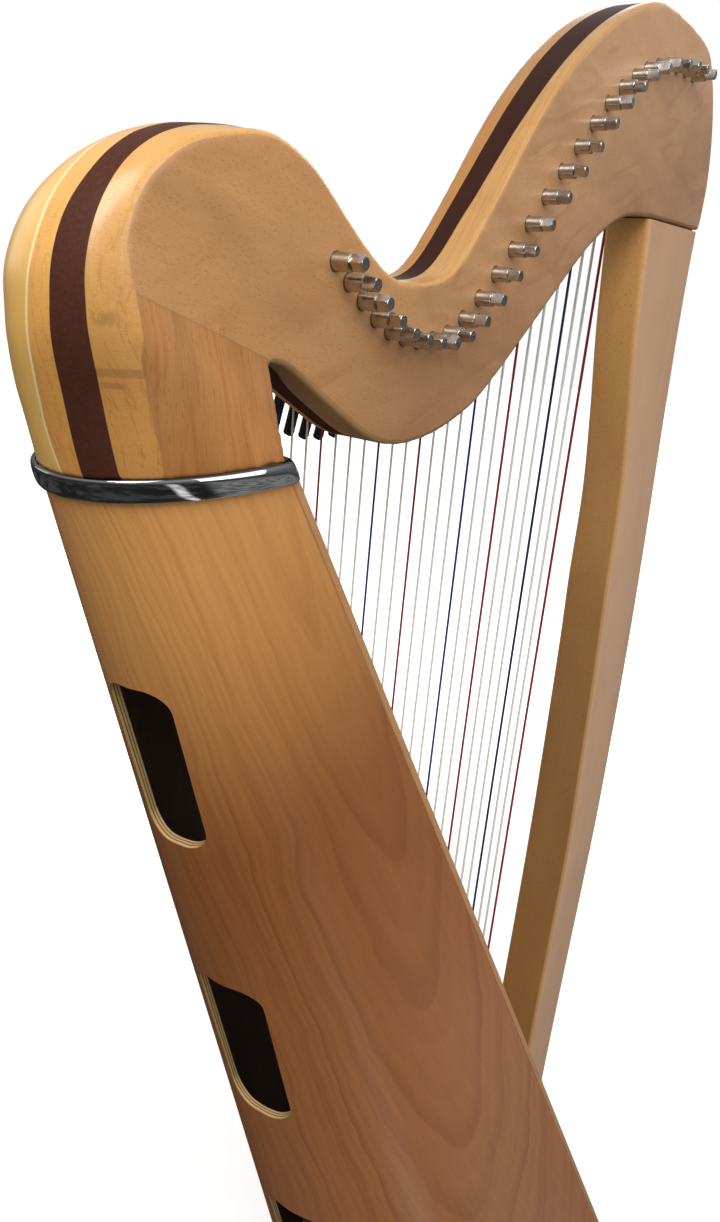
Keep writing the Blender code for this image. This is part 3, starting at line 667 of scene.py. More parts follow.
def neck_material():
    N = new_material("neck_wood")
    x, y, z = N.coords()
    _, ny, nz = N.normal()
    wavy_y = y + (N.noise((x, 0.01), 0.0, (z, 0.01), detail=1) - 0.5) * 0.6
    along = x * cos(GRAIN_FALL) + z * sin(GRAIN_FALL)
    across = z * cos(GRAIN_FALL) - x * sin(GRAIN_FALL)
    face, face_height, fine = neck_face(N, along, across, x, y, z)
    edge, edge_height = neck_edge(N, along, across, wavy_y, nz, x, y, z)

    # flat: the plank's two faces, less the cheeks below the crease and the shoulder's back
    crease = (x + 402.0) * 0.337 + (z - 969.4)
    flat = y.step(-43.20, -43.50).max(y.step(-12.85, -12.55))
    flat = flat * abs(ny).step(0.950, 0.974)
    cheeks = x.step(-331, -336) * crease.step(0.3, -0.3)
    flat = flat * (1.0 - cheeks)
    flat = flat * (x - z.curve(FACE_LAP)).step(-0.35, 0.35)
    colour = edge.mix(face, flat)

    # borders of the core lamination
    on_back = x.step(-366, -380)
    core_right = on_back.blend(x.curve(CORE_RIGHT_TOP), z.curve(CORE_RIGHT_BACK))
    core_left = on_back.blend(x.curve(CORE_LEFT_TOP), z.curve(CORE_LEFT_BACK))
    below = nz.step(-0.10, -0.30) * x.step(-345, -334)
    core_right = below.blend(core_right, x.curve(CORE_RIGHT_UNDER))
    core_left = below.blend(core_left, CORE_LEFT_UNDER)

    # the core's dark wood, and coarse grain on the edges in front of the shoulder
    mottle = N.noise((x, 0.9), (y, 1.4), (z, 0.9), detail=3, rough=0.7)
    streaks = N.noise((along, 0.02), (across, 0.8), (y, 0.8), detail=3)
    core = N.mix((0.070, 0.022, 0.0135), (0.118, 0.042, 0.026), streaks)
    core = core.mix((0.17, 0.075, 0.05), amount=mottle.step(0.5, 0.75) * 0.25)
    forward = x.step(-300, -230)
    grain = N.noise((along, 0.05), (across, 0.05), (y, 1.3), detail=3, rough=0.6, distort=0.3)
    colour = colour.tint(by=(0.80, 0.64, 0.46),
                         amount=grain.step(0.48, 0.62) * forward * ((1.0 - flat) * 0.55))
    core = core.scale(forward.blend(0.86, 0.44))
    colour = colour.scale(forward.blend(1.0, 0.80)).mix(colour, flat)
    # painted light and shade: the left lamination's edge is painted paler on the shoulder and
    # darker, browner in front of it, where it faces away from the light
    left_light_and_shade = N.mix(colour.times((1.22, 1.20, 1.08)), colour.times((0.86, 0.74, 0.55)),
                      forward)
    colour = colour.mix(left_light_and_shade, (wavy_y - core_left).step(-0.2, 0.2) * (1.0 - flat))
    in_core = (wavy_y - core_right).step(-0.12, 0.12) * (wavy_y - core_left).step(0.12, -0.12)
    colour = colour.mix(core, in_core)

    # left cheek of the shoulder and the bright line where it meets the plank
    left_line = z.curve(LEFT_CHEEK)
    on_shoulder = x.step(-340, -352)
    cheek, _, _ = wood(N, z, y + x * 0.3, x, base=(0.870, 0.520, 0.140), fleck=0.05,
                       figure=0.12, streak=0.12, seed=40)
    in_left = (wavy_y - left_line).step(-0.15, 0.15) * on_shoulder * z.step(1030, 1010)
    colour = colour.mix(cheek, in_left)
    line = (abs(wavy_y - (left_line + 0.3)).step(0.85, 0.25)
            * (on_shoulder * z.step(1030, 1010)))
    colour = colour.mix((1.0, 0.80, 0.45), amount=line * 0.90)

    # right cheek below the crease, with dark lines along the crease and its back edge
    wander = (N.noise((x, 0.25), (y, 0.25), (z, 0.08), detail=3) - 0.5) * 2.0
    past = (x + wander) - z.curve(RIGHT_CHEEK)
    in_right = (crease.step(0.25, -0.25) * past.step(-0.3, 0.3) * x.step(-325, -331)
                * y.step(-32.0, -35.0))
    colour = colour.mix(right_cheek(N, x, y, z), in_right)
    glue = (abs(crease).step(0.7, 0.15) * y.step(-40, -43)
            * (x.step(-334, -340) * x.step(-403.5, -401.0)))
    colour = colour.mix((0.25, 0.12, 0.05), amount=glue * 0.35)
    border = abs(past).step(0.7, 0.1) * crease.step(0.5, -0.5) * on_shoulder
    colour = colour.mix((0.30, 0.15, 0.06), amount=border * 0.22)

    # painted shade: the underside is darkened and greyed as if in shadow
    painted_underside_shade = below * wavy_y.step(-26.0, -32.0).blend(0.30, 0.55)
    colour = colour.mix(colour.scale(0.22).times((0.98, 1.55, 3.4)), painted_underside_shade)
    dull = in_core.max(painted_underside_shade)
    height = flat.blend(edge_height, face_height)
    return N.finish(colour, rough=in_core.blend(fine.mad(0.10, 0.30), 0.52),
                    normal=N.bump(height, strength=0.18, distance=0.00025),
                    coat=(1.0 - dull) * flat.blend(0.36, 0.10), coat_rough=0.20,
                    spec=dull.blend(0.45, 0.07))


# ------------------------------------------------------------------ other wood materials
# painted light and shade on the pillar's front and back, darker low down and brighter near the
# top: (z, factor)
PILLAR_PAINTED_LIGHT = ((500, 0.69), (640, 0.71), (820, 1.03), (1000, 1.52))
# plies through the shell's wall, outside to inside: (depth, colour)
PLIES = ((0.0, (0.30, 0.15, 0.06)), (0.10, (0.66, 0.47, 0.21)), (0.34, (0.16, 0.075, 0.03)),
         (0.46, (0.60, 0.42, 0.18)), (0.66, (0.15, 0.07, 0.03)), (0.76, (0.62, 0.44, 0.20)),
         (0.94, (0.10, 0.05, 0.025)))


def pillar_material():
    N = new_material("pillar_wood")
    x, y, z = N.coords()
    _, ny, _ = N.normal()
    side, side_rays, side_fine = wood(N, z, x, y, base=(0.605, 0.375, 0.228), fleck=0.10,
                                      figure=0.08, streak=0.12, seed=80)
    inner, inner_rays, inner_fine = wood(N, z, y, x, base=(0.425, 0.222, 0.072), fleck=0.62,
                                         streak=0.14, seed=95, fleck_len=0.7, thin=1.4,
                                         many=0.03)
    pores = N.noise((x, 1.0), (y, 1.6), (z, 0.45), rough=0.6)
    inner = inner.dim(by=0.6, amount=pores.step(0.58, 0.70) * 0.30)
    # painted light and shade by height
    inner = inner.scale(z.curve(PILLAR_PAINTED_LIGHT))
    flat = abs(ny).step(0.75, 0.98)
    colour = inner.mix(side, flat)
    corner = abs(ny).step(0.30, 0.6) * abs(ny).step(0.97, 0.8)
    colour = colour.mix((0.62, 0.38, 0.17), amount=corner * 0.5)
    height = flat.blend(relief(inner_fine, inner_rays), relief(side_fine, side_rays))
    return N.finish(colour, rough=side_fine.mad(0.10, 0.32),
                    normal=N.bump(height, strength=0.16, distance=0.00022),
                    coat=0.15, coat_rough=0.25, spec=0.4)


def shell_material():
    """Beech veneer. The skin attribute holds s, mm down the box; g, 0 at the right edge to
    2 at the left; and d, 0 outside to 1 inside the wall."""
    N = new_material("shell_veneer")
    skin = N.node('ShaderNodeAttribute', attribute_name="skin")
    s, g, d = N.split(skin.outputs['Vector'])
    width = s.mad(0.242, 92.4)          # mm of skin per unit of g
    axis = s.mad(0.000385, 0.0776)      # g where the ring pattern centres
    drift = N.noise((s, 0.0065), (g, 1.6), 0.0, rough=0.45)
    jitter = N.noise((s, 0.03), (g, 7.0), 2.0)
    off = (g - axis) * width
    off = off + (drift - 0.5) * 34.0
    off = off + (jitter - 0.5) * 3.5
    # the rings fan out down the box, away from the axis
    fan = 1.0 + (s - 200.0).max(-200.0).min(600.0) * -0.00065
    fanned = off * abs(off).step(10.0, 60.0).blend(1.0, fan)
    sunk = s.mad(0.088, 2.0).max(2.0)
    radius = (fanned * fanned + sunk * sunk).sqrt()
    wobble = N.noise((radius, 0.035), 7.0, 0.0, detail=1)
    wide_ring = (radius * 0.082 + wobble * 2.2).fract()
    wide_late = (wide_ring.step(0.35, 0.968) * wide_ring.step(1.0, 0.975)) ** 2.2
    thin_ring = (radius * 0.21 + wobble * 4.0).fract()
    thin_late = thin_ring.step(0.2, 0.94) * thin_ring.step(1.0, 0.95)
    patches = N.noise((s, 0.008), (g, 9.0), 5.0)
    fine = N.noise((s, 0.05), (g * width, 1.6), 0.0, detail=3, rough=0.6)
    fibre = N.noise((s, 0.011), (g * width, 0.42), 3.0, detail=3, rough=0.6)
    slow = N.noise((s, 0.004), (g, 1.4), 8.0)
    flecks = N.noise((s, 0.24), (g * width, 1.5), 1.0, detail=1).step(0.64, 0.74)
    # base colour at the top, the upper back and the lower back
    base = N.mix((0.596, 0.292, 0.090), (0.300, 0.106, 0.027), s.step(10.0, 190.0))
    base = base.mix((0.412, 0.158, 0.052), s.step(150.0, 520.0))
    colour = base.scale(fine.swing(0.22) * fibre.swing(0.34) * slow.swing(0.22))
    amount = wide_late * patches.blend(0.18, 0.56) * s.step(40.0, 240.0).blend(0.55, 1.0)
    colour = colour.tint(by=(0.66, 0.52, 0.42), amount=amount)
    amount = thin_late * abs(off).step(20.0, 60.0).blend(0.20, 0.42)
    colour = colour.tint(by=(0.80, 0.72, 0.64), amount=amount)
    colour = colour.dim(by=0.62, amount=flecks * 0.22)
    # painted shade where the back rounds towards the player's left; the right edge is painted a
    # little duller and pinker, out of the sheen
    colour = colour.scale(g.step(0.98, 1.50).blend(1.0, 0.50))
    colour = colour.times(N.mix((1.02, 1.01, 1.0), (0.95, 0.93, 0.93), g.step(0.80, 0.30)))
    # the wall's cut edge shows its plies; the inside is dull
    plies = N.ramp(d + (fine - 0.5) * 0.03, PLIES, 'CONSTANT')
    inside = d.step(0.95, 0.985)
    in_wall = d.step(0.03, 0.05)
    lining = N.mix((0.16, 0.115, 0.10), (0.24, 0.175, 0.15), fibre)
    colour = colour.mix(plies, in_wall).mix(lining, inside)
    return N.finish(colour, rough=inside.blend(fine.mad(0.10, 0.33), 0.95),
                    normal=N.bump(fine * 0.5 - flecks * 0.6, strength=0.14, distance=0.00022),
                    coat=(1.0 - in_wall) * 0.12, coat_rough=0.28,
                    spec=inside.blend(0.34, 0.05))


def board_material():
    """Soundboard: fine straight spruce grain running down the board."""
    N = new_material("spruce_board")
    x, y, z = N.coords()
    s = down_box(x, z)
    wavy_y = y + (N.noise((s, 0.006), (y, 0.03), 0.0) - 0.5) * 3.0
    ring = (wavy_y * 0.55).fract()
    late = ring.step(0.45, 0.92) * ring.step(1.0, 0.95)
    fine = N.noise((s, 0.04), (y, 2.2), 0.0, detail=3, rough=0.6)
    slow = N.noise((s, 0.004), (y, 0.03), 4.0)
    silk = N.noise((s, 0.22), (y, 0.06), 9.0, distort=0.5)
    colour = N.scale((0.690, 0.470, 0.235), fine.swing(0.12)).scale(slow.swing(0.20))
    colour = colour.mix((0.45, 0.235, 0.085), amount=late * 0.42)
    colour = colour.mix((0.86, 0.66, 0.38), amount=silk.step(0.52, 0.7) * 0.12)
    return N.finish(colour, rough=fine.mad(0.1, 0.36),
                    normal=N.bump((fine - late) * 0.5, strength=0.15, distance=0.0002),
                    coat=0.12, coat_rough=0.28)


def plain_wood(name, base, seed, grain_down_box=False, fleck=0.4, figure=0.10, streak=0.14):
    """Wood with its grain along x or down the box."""
    N = new_material(name)
    x, y, z = N.coords()
    along = down_box(x, z) if grain_down_box else x
    colour, rays, fine = wood(N, along, y, z, base, fleck=fleck, figure=figure,
                              streak=streak, seed=seed)
    return N.finish(colour, rough=fine.mad(0.1, 0.34),
                    normal=N.bump(relief(fine, rays), strength=0.16, distance=0.00022),
                    coat=0.14, coat_rough=0.25, spec=0.42)


# ------------------------------------------------------------------ metals and plastics
def plated_material(name, tint, smoothest, roughest):
    """Metal with turning marks and faint handling wear."""
    N = new_material(name)
    x, y, z = N.coords()
    turning = N.noise(0.0, (y, 6.0), 0.0, detail=3, rough=0.7)
    wear = N.noise((x, 0.35), (y, 0.35), (z, 0.35), detail=3, rough=0.6)
    worn = tuple(channel * 0.80 for channel in tint)
    return N.finish(N.mix(tint, worn, wear.step(0.35, 0.7)), metal=1.0,
                    rough=turning.mad(roughest - smoothest, smoothest),
                    normal=N.bump(turning, strength=0.05, distance=0.00005))


def chrome_material():
    N = new_material("band_chrome_finish")
    x, y, z = N.coords()
    smear = N.noise((x, 0.03), (y, 0.03), (z, 0.15), detail=3, rough=0.6)
    scratches = N.noise((x, 0.08), (y, 0.08), (z, 4.0))
    _, _, nz = N.normal()
    colour = N.mix((0.50, 0.51, 0.53), (0.66, 0.67, 0.69), smear)
    # painted dark reflection: dimmer where it faces up
    colour = colour.scale(nz.step(0.15, 0.65).blend(1.0, 0.22))
    rough = smear.step(0.45, 0.8) * 0.05 + scratches * 0.04
    return N.finish(colour, rough=rough + 0.03, metal=1.0,
                    normal=N.bump(scratches, strength=0.02, distance=0.00003))


def black_material():
    N = new_material("lever_black_plastic")
    x, y, z = N.coords()
    grain = N.noise((x, 2.2), (y, 2.2), (z, 2.2))
    worn = N.noise((x, 0.25), (y, 0.25), (z, 0.25))
    return N.finish(N.mix((0.0075, 0.0080, 0.0085), (0.016, 0.0165, 0.017), worn),
                    rough=grain.mad(0.18, 0.42),
                    normal=N.bump(grain, strength=0.10, distance=0.0001), spec=0.16)


def nylon_material(name, colour, rough=0.28):
    N = new_material(name)
    x, y, z = N.coords()
    cloud = N.noise((x, 0.8), (y, 0.8), (z, 0.12))
    darker = tuple(channel * 0.90 for channel in colour)
    lighter = tuple(min(1.0, channel * 1.08) for channel in colour)
    return N.finish(N.mix(darker, lighter, cloud), rough=cloud.mad(0.1, rough), ior=1.45)


def rubber_material():
    N = new_material("foot_rubber")
    x, y, z = N.coords()
    grain = N.noise((x, 1.2), (y, 1.2), (z, 1.2), detail=3)
    return N.finish(N.mix((0.010, 0.010, 0.010), (0.022, 0.021, 0.020), grain),
                    rough=grain.mad(0.2, 0.6),
                    normal=N.bump(grain, strength=0.2, distance=0.0002))


NECK_WOOD = neck_material()
PILLAR_WOOD = pillar_material()
VENEER = shell_material()
SPRUCE = board_material()
RIB_WOOD = plain_wood("string_rib_wood", (0.60, 0.335, 0.150), seed=120, grain_down_box=True)
BASE_WOOD = plain_wood("base_wood_finish", (0.50, 0.255, 0.105), seed=140, figure=0.12,
                       streak=0.18)
BINDING_WOOD = plain_wood("binding_wood", (0.46, 0.235, 0.095), seed=150, fleck=0.15,
                          grain_down_box=True)
NICKEL = plated_material("pin_nickel_finish", (0.56, 0.525, 0.47), smoothest=0.16,
                         roughest=0.30)
BRASS = plated_material("brass_finish", (0.62, 0.46, 0.20), smoothest=0.18, roughest=0.32)
CHROME = chrome_material()
BLACK = black_material()
CLEAR = nylon_material("nylon_clear", (0.78, 0.79, 0.77), rough=0.22)
RED = nylon_material("nylon_red", (0.29, 0.012, 0.016))
BLUE = nylon_material("nylon_blue", (0.012, 0.030, 0.22))
NAVY = nylon_material("nylon_navy", (0.010, 0.014, 0.075))
RUBBER = rubber_material()
SHADOW = plain_wood("socket_shadow", (0.060, 0.036, 0.022), seed=160, fleck=0.0)

# coloured strings by number; the rest are clear
STRING_COLOURS = {3: BLUE, 6: RED, 10: BLUE, 13: RED, 17: BLUE, 20: RED, 24: NAVY, 27: RED}


# ------------------------------------------------------------------ neck
# plank outline: (x, z)
NECK_TOP = ((-400, 966), (-405.5, 976), (-405, 991), (-400.5, 1001), (-390, 1010),
            (-375, 1019.5), (-350, 1025), (-336, 1025), (-316, 1018), (-302.5, 1008.5),
            (-283, 994.5), (-263, 982.5), (-255, 980), (-241, 979.5), (-210, 985),
            (-180, 1015.5), (-131, 1074), (-76, 1116.5), (-18, 1142.5), (25, 1148),
            (90, 1143.5), (108.5, 1132), (122.5, 1117), (137, 1091.5), (145.2, 1063.5),
            (144.6, 1038))
NECK_UNDER = ((143.3, 1033), (38, 1032.4), (-3, 1029), (-27, 1021.5), (-45, 1012.5),
              (-67, 998.5), (-155, 932.6), (-184, 916.5), (-222, 906.6), (-258, 908),
              (-290, 923.6), (-319, 940.5), (-332, 947), (-341, 946.5), (-372, 955))
# The shoulder: level sections from the band up to the pivot's height, then sections
# fanned round the pivot until they meet the plank's top.
# level: z, then x of the front, of the flat right side's end and of the back,
# then y of the crown and of the left side
SHOULDER_LOW = (
    (922, -331.8, -344, -410.5, -4, 47.0),
    (935, -334.5, -358, -416.0, -7, 44.0),
    (948, -337.5, -378, -421.0, -11, 39.0),
    (960, -340.5, -394, -423.5, -14, 36.0),
)
SHOULDER_PIVOT = (-344.0, 960.0)
# fan: degrees, reach of the flat right side and of the crown, y of the crown and left side
SHOULDER_FAN = (
    (12, 60.0, 81.7, -16, 31.6), (25, 63.0, 81.1, -18, 27.0), (38, 66.0, 77.8, -20, 21.0),
    (50, 66.5, 74.1, -22, 13.6), (62, 65.0, 70.4, -24, 5.3), (74, 62.5, 67.4, -25, -3.7),
    (88, 61.5, 66.4, -25, -12.0), (104, 60.0, 67.2, -25, -12.0),
    (118, 58.0, 66.0, -26, -12.0), (130, 55.0, 61.0, -27, -12.0),
)
FAN_START = 3.0                         # the fan's sections begin this far from the pivot
CREASE = (-402.0, 969.3, -0.337)        # x, z and slope of the line where the flat face ends
CREASE_FALL = 0.105                     # how fast the cheek swells below the crease
SHOULDER_ARC = 30                       # steps in a quarter of a section
VOXEL = 0.0013                          # metres


def shoulder_ring(pivot, out, start, flat, back, crown_y, left_y):
    """One section: out along the flat right side, round the crown, back along the left."""
    n = SHOULDER_ARC
    points = [(start, NECK_RIGHT)]
    for k in range(n + 1):
        a = (pi / 2) * k / n
        points.append((flat + (back - flat) * sin(a), crown_y + (NECK_RIGHT - crown_y) * cos(a)))
    for k in range(1, n + 1):
        a = (pi / 2) * k / n
        points.append((start + (back - start) * cos(a), crown_y + (left_y - crown_y) * sin(a)))
    ring = []
    for reach, y in points:
        x, z = pivot[0] + out[0] * reach, pivot[1] + out[1] * reach
        below = CREASE[1] + CREASE[2] * (x - CREASE[0]) - z
        if y < crown_y and below > 0:
            half = crown_y - NECK_RIGHT
            y = crown_y + (y - crown_y) * (half + CREASE_FALL * below) / half
        ring.append(Vector((x, y, z)))
    return ring


def shoulder_rings():
    rings = []
    for z, front, flat, back, crown_y, left_y in SHOULDER_LOW:
        rings.append(shoulder_ring((0, z), (-1, 0), -front, -flat, -back, crown_y, left_y))
    for degrees, flat, crown, crown_y, left_y in SHOULDER_FAN:
        a = radians(degrees)
        rings.append(shoulder_ring(SHOULDER_PIVOT, (-cos(a), sin(a)), FAN_START, flat, crown,
                                   crown_y, left_y))
    return rings


def shoulder_block():
    """The shoulder, lofted from the box's rim at the band through its sections."""
    rim = []
    for k in range(2 * SHOULDER_ARC + 1):
        t = pi * k / (2 * SHOULDER_ARC)
        rim.append(box_point(band_cut(t, -1.5), t))
    rings = [[rim[0] + Vector((2.8, 0, 0))] + rim] + shoulder_rings()
    columns = [catmull(column, 6) for column in zip(*rings)]
    return loft_mesh("block", list(zip(*columns)))


def make_neck():
    top = eased(catmull(NECK_TOP, 10))
    under = eased(catmull(NECK_UNDER, 10))
    plank = flat_solid("plank", top + under, -NECK_LEFT, -NECK_RIGHT, UPRIGHT, bevel=4.5,
                       segments=6)
    # the underside's edges are crisper than the top's: a second plank, set in from the top
    lower = []
    for x, z in top:
        head = min(1.0, max(0.0, (x - 60.0) / 80.0))
        lower.append((x - 10.0 * head, max(z - 12.0, 1037.5) if x > 60.0 else z - 12.0))
    crisp = flat_solid("plank_under", lower + under, -NECK_LEFT, -NECK_RIGHT, UPRIGHT,
                       bevel=1.6, segments=3)
    bm = bmesh.new()
    for piece in (plank, crisp, shoulder_block()):
        bm.from_mesh(piece)
    # one skin over the three solids
    ob = add("neck_tmp", bm_mesh(bm, "neck_visual", recalc=False))
    skin = ob.modifiers.new("skin", 'REMESH')
    skin.mode = 'VOXEL'
    skin.voxel_size = VOXEL
    skin.use_smooth_shade = True
    ease = ob.modifiers.new("ease", 'SMOOTH')
    ease.factor = 0.5
    ease.iterations = 7
    mesh = baked(ob, "neck_body")
    mesh.shade_smooth()
    part("neck_body", mesh, NECK_WOOD, replaces="neck")


# ------------------------------------------------------------------ pillar
# back and front of the pillar: (z, x)
PILLAR_IN = ((35.6, 143), (111.0, 103.2), (135, 100.5), (285, 102), (485, 104), (585, 99),
             (700, 91), (760, 85), (835, 80.5), (905, 65), (957, 51), (1031.6, 38))
PILLAR_OUT = ((35.6, 170), (150, 166), (285, 167), (485, 172), (600, 171.5), (700, 168),
              (800, 160), (880, 152), (950, 146), (1000, 142.5), (1031.6, 142))
PILLAR_CORNER = 4.5
PILLAR_FREE_Z = 111                     # up to here its back follows the soundboard
PILLAR_TOP_Z = 1031.6
# painted shade: outline of a dark plate filling the joint's gap under the neck: (x, offset from
# the neck's middle)
SEAM_SHADE_OUTLINE = ((42, -13), (138, -13), (139.5, -11), (139.5, 11), (138, 13), (42, 13),
             (40.5, 11), (40.5, -11))


def make_pillar():
    mid, c = NECK_MID, PILLAR_CORNER
    levels = [BOX_FOOT_Z + (PILLAR_FREE_Z - BOX_FOOT_Z) * k / 8 for k in range(9)]
    levels += [PILLAR_FREE_Z + (PILLAR_TOP_Z - PILLAR_FREE_Z) * k / 120 for k in range(1, 121)]
    rings = []
    for z in levels:
        x0 = board_x(z) + 6.7 if z <= PILLAR_FREE_Z else hermite(PILLAR_IN, z)
        x1 = hermite(PILLAR_OUT, z)
        half = 16 + 5 * (1 - min(max((z - 500) / 450, 0), 1))
        corners = ((x1 - c, mid - half + c, -90), (x1 - c, mid + half - c, 0),
                   (x0 + c, mid + half - c, 90), (x0 + c, mid - half + c, 180))
        rings.append([(x, y, z) for x, y in corner_arcs(corners, c, 8)])
    part("pillar_body", loft_mesh("pillar_body", rings), PILLAR_WOOD,
         replaces="pillar", smooth=40)
    # a dark plate of painted shade in the seam under the neck
    outline = [(x, mid + y) for x, y in SEAM_SHADE_OUTLINE]
    mesh = flat_solid("pillar_glue_line", outline, 1031.0, 1032.9, Matrix.Identity(4))
    part("pillar_glue_line", mesh, SHADOW)


# ------------------------------------------------------------------ soundbox
HOLES = ((76.0, 174.0, 18.0), (284.0, 422.0, 23.0), (555.0, 734.0, 28.0))  # s, s, half width
HOLE_T = radians(85.4)                  # the holes' place round the back


def hole_cutter(i, s0, s1, half):
    r = half * 0.7
    corners = ((s1 - r, half - r, 0), (s0 + r, half - r, 90),
               (s0 + r, -half + r, 180), (s1 - r, -half + r, 270))
    middle = (s0 + s1) / 2
    p0, p1 = box_point(s0, HOLE_T), box_point(s1, HOLE_T)
    ex = (p1 - p0).normalized()
    ey = (box_point(middle, HOLE_T + 0.05) - box_point(middle, HOLE_T - 0.05)).normalized()
    ez = ex.cross(ey).normalized()
    ey = ez.cross(ex)
    place = basis(ex, ey, ez, (p0 + p1) / 2 * MM - ex * (middle * MM))
    name = "cut_%d" % i
    return add(name, flat_solid(name, corner_arcs(corners, r, 16), -22, 22, place))


def skin_place(point):
    """s, g and d of a point in the wall, as the veneer reads them."""
    p = point / MM - BOX_TOP
    s, out = p.dot(DOWN), p.dot(BACK)
    half, depth = half_width(s), box_depth(s)
    t = math.atan2(out / depth, -p.y / half)
    reach = sqrt((p.y / half) ** 2 + (out / depth) ** 2)
    size = (abs(cos(t)) * half + abs(sin(t)) * depth) / (abs(cos(t)) + abs(sin(t)))
    return [s, t / (pi / 2), min(max((1 - reach) * size / BOX_WALL, 0.0), 1.0)]


def make_shell():
    n, m = 96, 60                       # steps round and down
    bm = bmesh.new()
    rows = []
    for j in range(m + 1):
        row = []
        for k in range(n + 1):
            t = pi * k / n
            s0 = band_cut(t, -4.0)
            s1 = box_cut(t, BOX_FOOT_Z)
            row.append(bm.verts.new(box_point(s0 + (s1 - s0) * j / m, t) * MM))
        rows.append(row)
    for a, b in zip(rows, rows[1:]):
        for k in range(n):
            bm.faces.new((a[k], b[k], b[k + 1], a[k + 1]))
    mesh = bm_mesh(bm, "shell_skin", recalc=False)
    # normals must point out for the wall to grow inwards
    sample = mesh.polygons[len(mesh.polygons) // 2]
    if sample.normal.dot(sample.center - (BOX_TOP * MM + DOWN * 0.4)) < 0:
        mesh.flip_normals()
    ob = add("shell_tmp", mesh)
    wall = ob.modifiers.new("wall", 'SOLIDIFY')
    wall.thickness = BOX_WALL * MM
    wall.offset = -1
    wall.use_even_offset = True
    cutters = [hole_cutter(i, *hole) for i, hole in enumerate(HOLES)]
    mesh = cut_away(ob, cutters, "shell_body")
    values = []
    for vertex in mesh.vertices:
        values += skin_place(vertex.co)
    skin = mesh.attributes.new("skin", 'FLOAT_VECTOR', 'POINT')
    skin.data.foreach_set("vector", values)
    part("soundbox_shell_body", mesh, VENEER, replaces="soundbox_shell",
         smooth=30)


def band_profile():
    """Soft D with a bulging middle and rounded lips: (out from the shell, height)."""
    inner, steps = 0.5, 14
    profile = [(inner, -0.4), (inner, -BAND_TALL)]
    for k in range(steps + 1):
        a = -pi / 2 + pi * k / steps
        out = inner + 0.35 + (BAND_THICK - 0.35) * (abs(cos(a)) ** 0.55)
        z = (-BAND_TALL / 2 - 0.2
             + (BAND_TALL / 2 - 0.2) * (1 if sin(a) > 0 else -1) * abs(sin(a)) ** 0.8)
        profile.append((out, z))
    return profile


def make_band():
    n, front, corner = 120, 5.5, 5.2    # steps round the back; reach and radius in front
    bm = bmesh.new()
    rows = []
    for out, lift in band_profile():
        rim = [box_point(band_cut(pi * k / n, lift), pi * k / n) for k in range(n + 1)]
        y_right = rim[0].y
        x_front = rim[0].x + front
        loop = []
        for k, p in enumerate(rim):
            t = pi * k / n
            loop.append(Vector((p.x, p.y, 0)) + Vector((-sin(t), -cos(t), 0)) * out)
        # across the front from the left corner to the right
        for q in range(1, 11):
            a = radians(90 * q / 10)
            loop.append(Vector((x_front - corner + (corner + out) * sin(a),
                                -y_right - corner + (corner + out) * cos(a), 0)))
        for q in range(0, 10):
            a = radians(90 * q / 10)
            loop.append(Vector((x_front - corner + (corner + out) * cos(a),
                                y_right + corner - (corner + out) * sin(a), 0)))
        for p in loop:
            p.z = BAND_Z + (p.x - BAND_X) * BAND_TIP + lift
        rows.append([bm.verts.new(p * MM) for p in loop])
    stitch(bm, rows + rows[:1])
    part("chrome_band", bm_mesh(bm, "chrome_band"), CHROME,
         replaces="shoulder_band", smooth=50)


# ------------------------------------------------------------------ soundboard
# binding section: in from the edge, out from the shell
BINDING = ((0.45, 0.9), (0.9, 0.4), (2.6, 0.4), (2.9, 0.8), (2.9, 4.6), (2.5, 5.0),
           (1.3, 5.0), (0.45, 4.4))


def make_board():
    board = NODES["soundboard"]
    board.data.materials.clear()
    board.data.materials.append(SPRUCE)
    s0, s1 = 9.9, (BOX_TOP[2] - BOX_FOOT_Z - 0.6) / cos(BOX_LEAN)
    for side, label in ((-1, "right"), (1, "left")):
        rings = []
        for j in range(41):
            s = s0 + (s1 - s0) * j / 40
            edge = half_width(s) * side
            rings.append([BOX_TOP + DOWN * s + SIDE * (edge - side * (inward - 0.55))
                          + FACE * out for inward, out in BINDING])
        part("soundboard_binding_" + label, loft_mesh("binding", rings), BINDING_WOOD,
             smooth=35)


# ------------------------------------------------------------------ string rib and strings
RIB_LIFT = BOARD_THICK + 0.5 + 0.3      # underside of the rib, out from the board's plane
RIB_TALL = 3.0
EYELET = ((2.7, -0.3), (2.7, 0.25), (2.45, 0.5), (2.0, 0.62), (1.5, 0.5), (1.3, 0.1),
          (1.25, -0.25))                # radius, height
COIL_TURNS = 3.5


def string_radius(i):
    return 0.48 + 0.60 * (i / (STRINGS - 1)) ** 1.2


def make_rib():
    s0, s1 = 24.0, (BOX_TOP[2] - 122.0) / cos(BOX_LEAN)
    rings = []
    for j in range(61):
        s = s0 + (s1 - s0) * j / 60
        end = min(1.0, (s - s0) / 6.0, (s1 - s) / 6.0)      # 0 at the tips, 1 along the rib
        w = 6.5 + 2.5 * (s - s0) / (s1 - s0)
        w *= 0.75 + 0.25 * end
        tall = RIB_TALL * (0.55 + 0.45 * end)
        section = ((-w, 0.0), (-w, tall * 0.45), (-w + 0.6, tall * 0.75), (-w + 1.7, tall),
                   (w - 1.7, tall), (w - 0.6, tall * 0.75), (w, tall * 0.45), (w, 0.0))
        rings.append([BOX_TOP + DOWN * s + SIDE * y + FACE * (RIB_LIFT + h)
                      for y, h in section])
    part("string_rib", loft_mesh("string_rib", rings), RIB_WOOD,
         replaces="string_set", smooth=40)


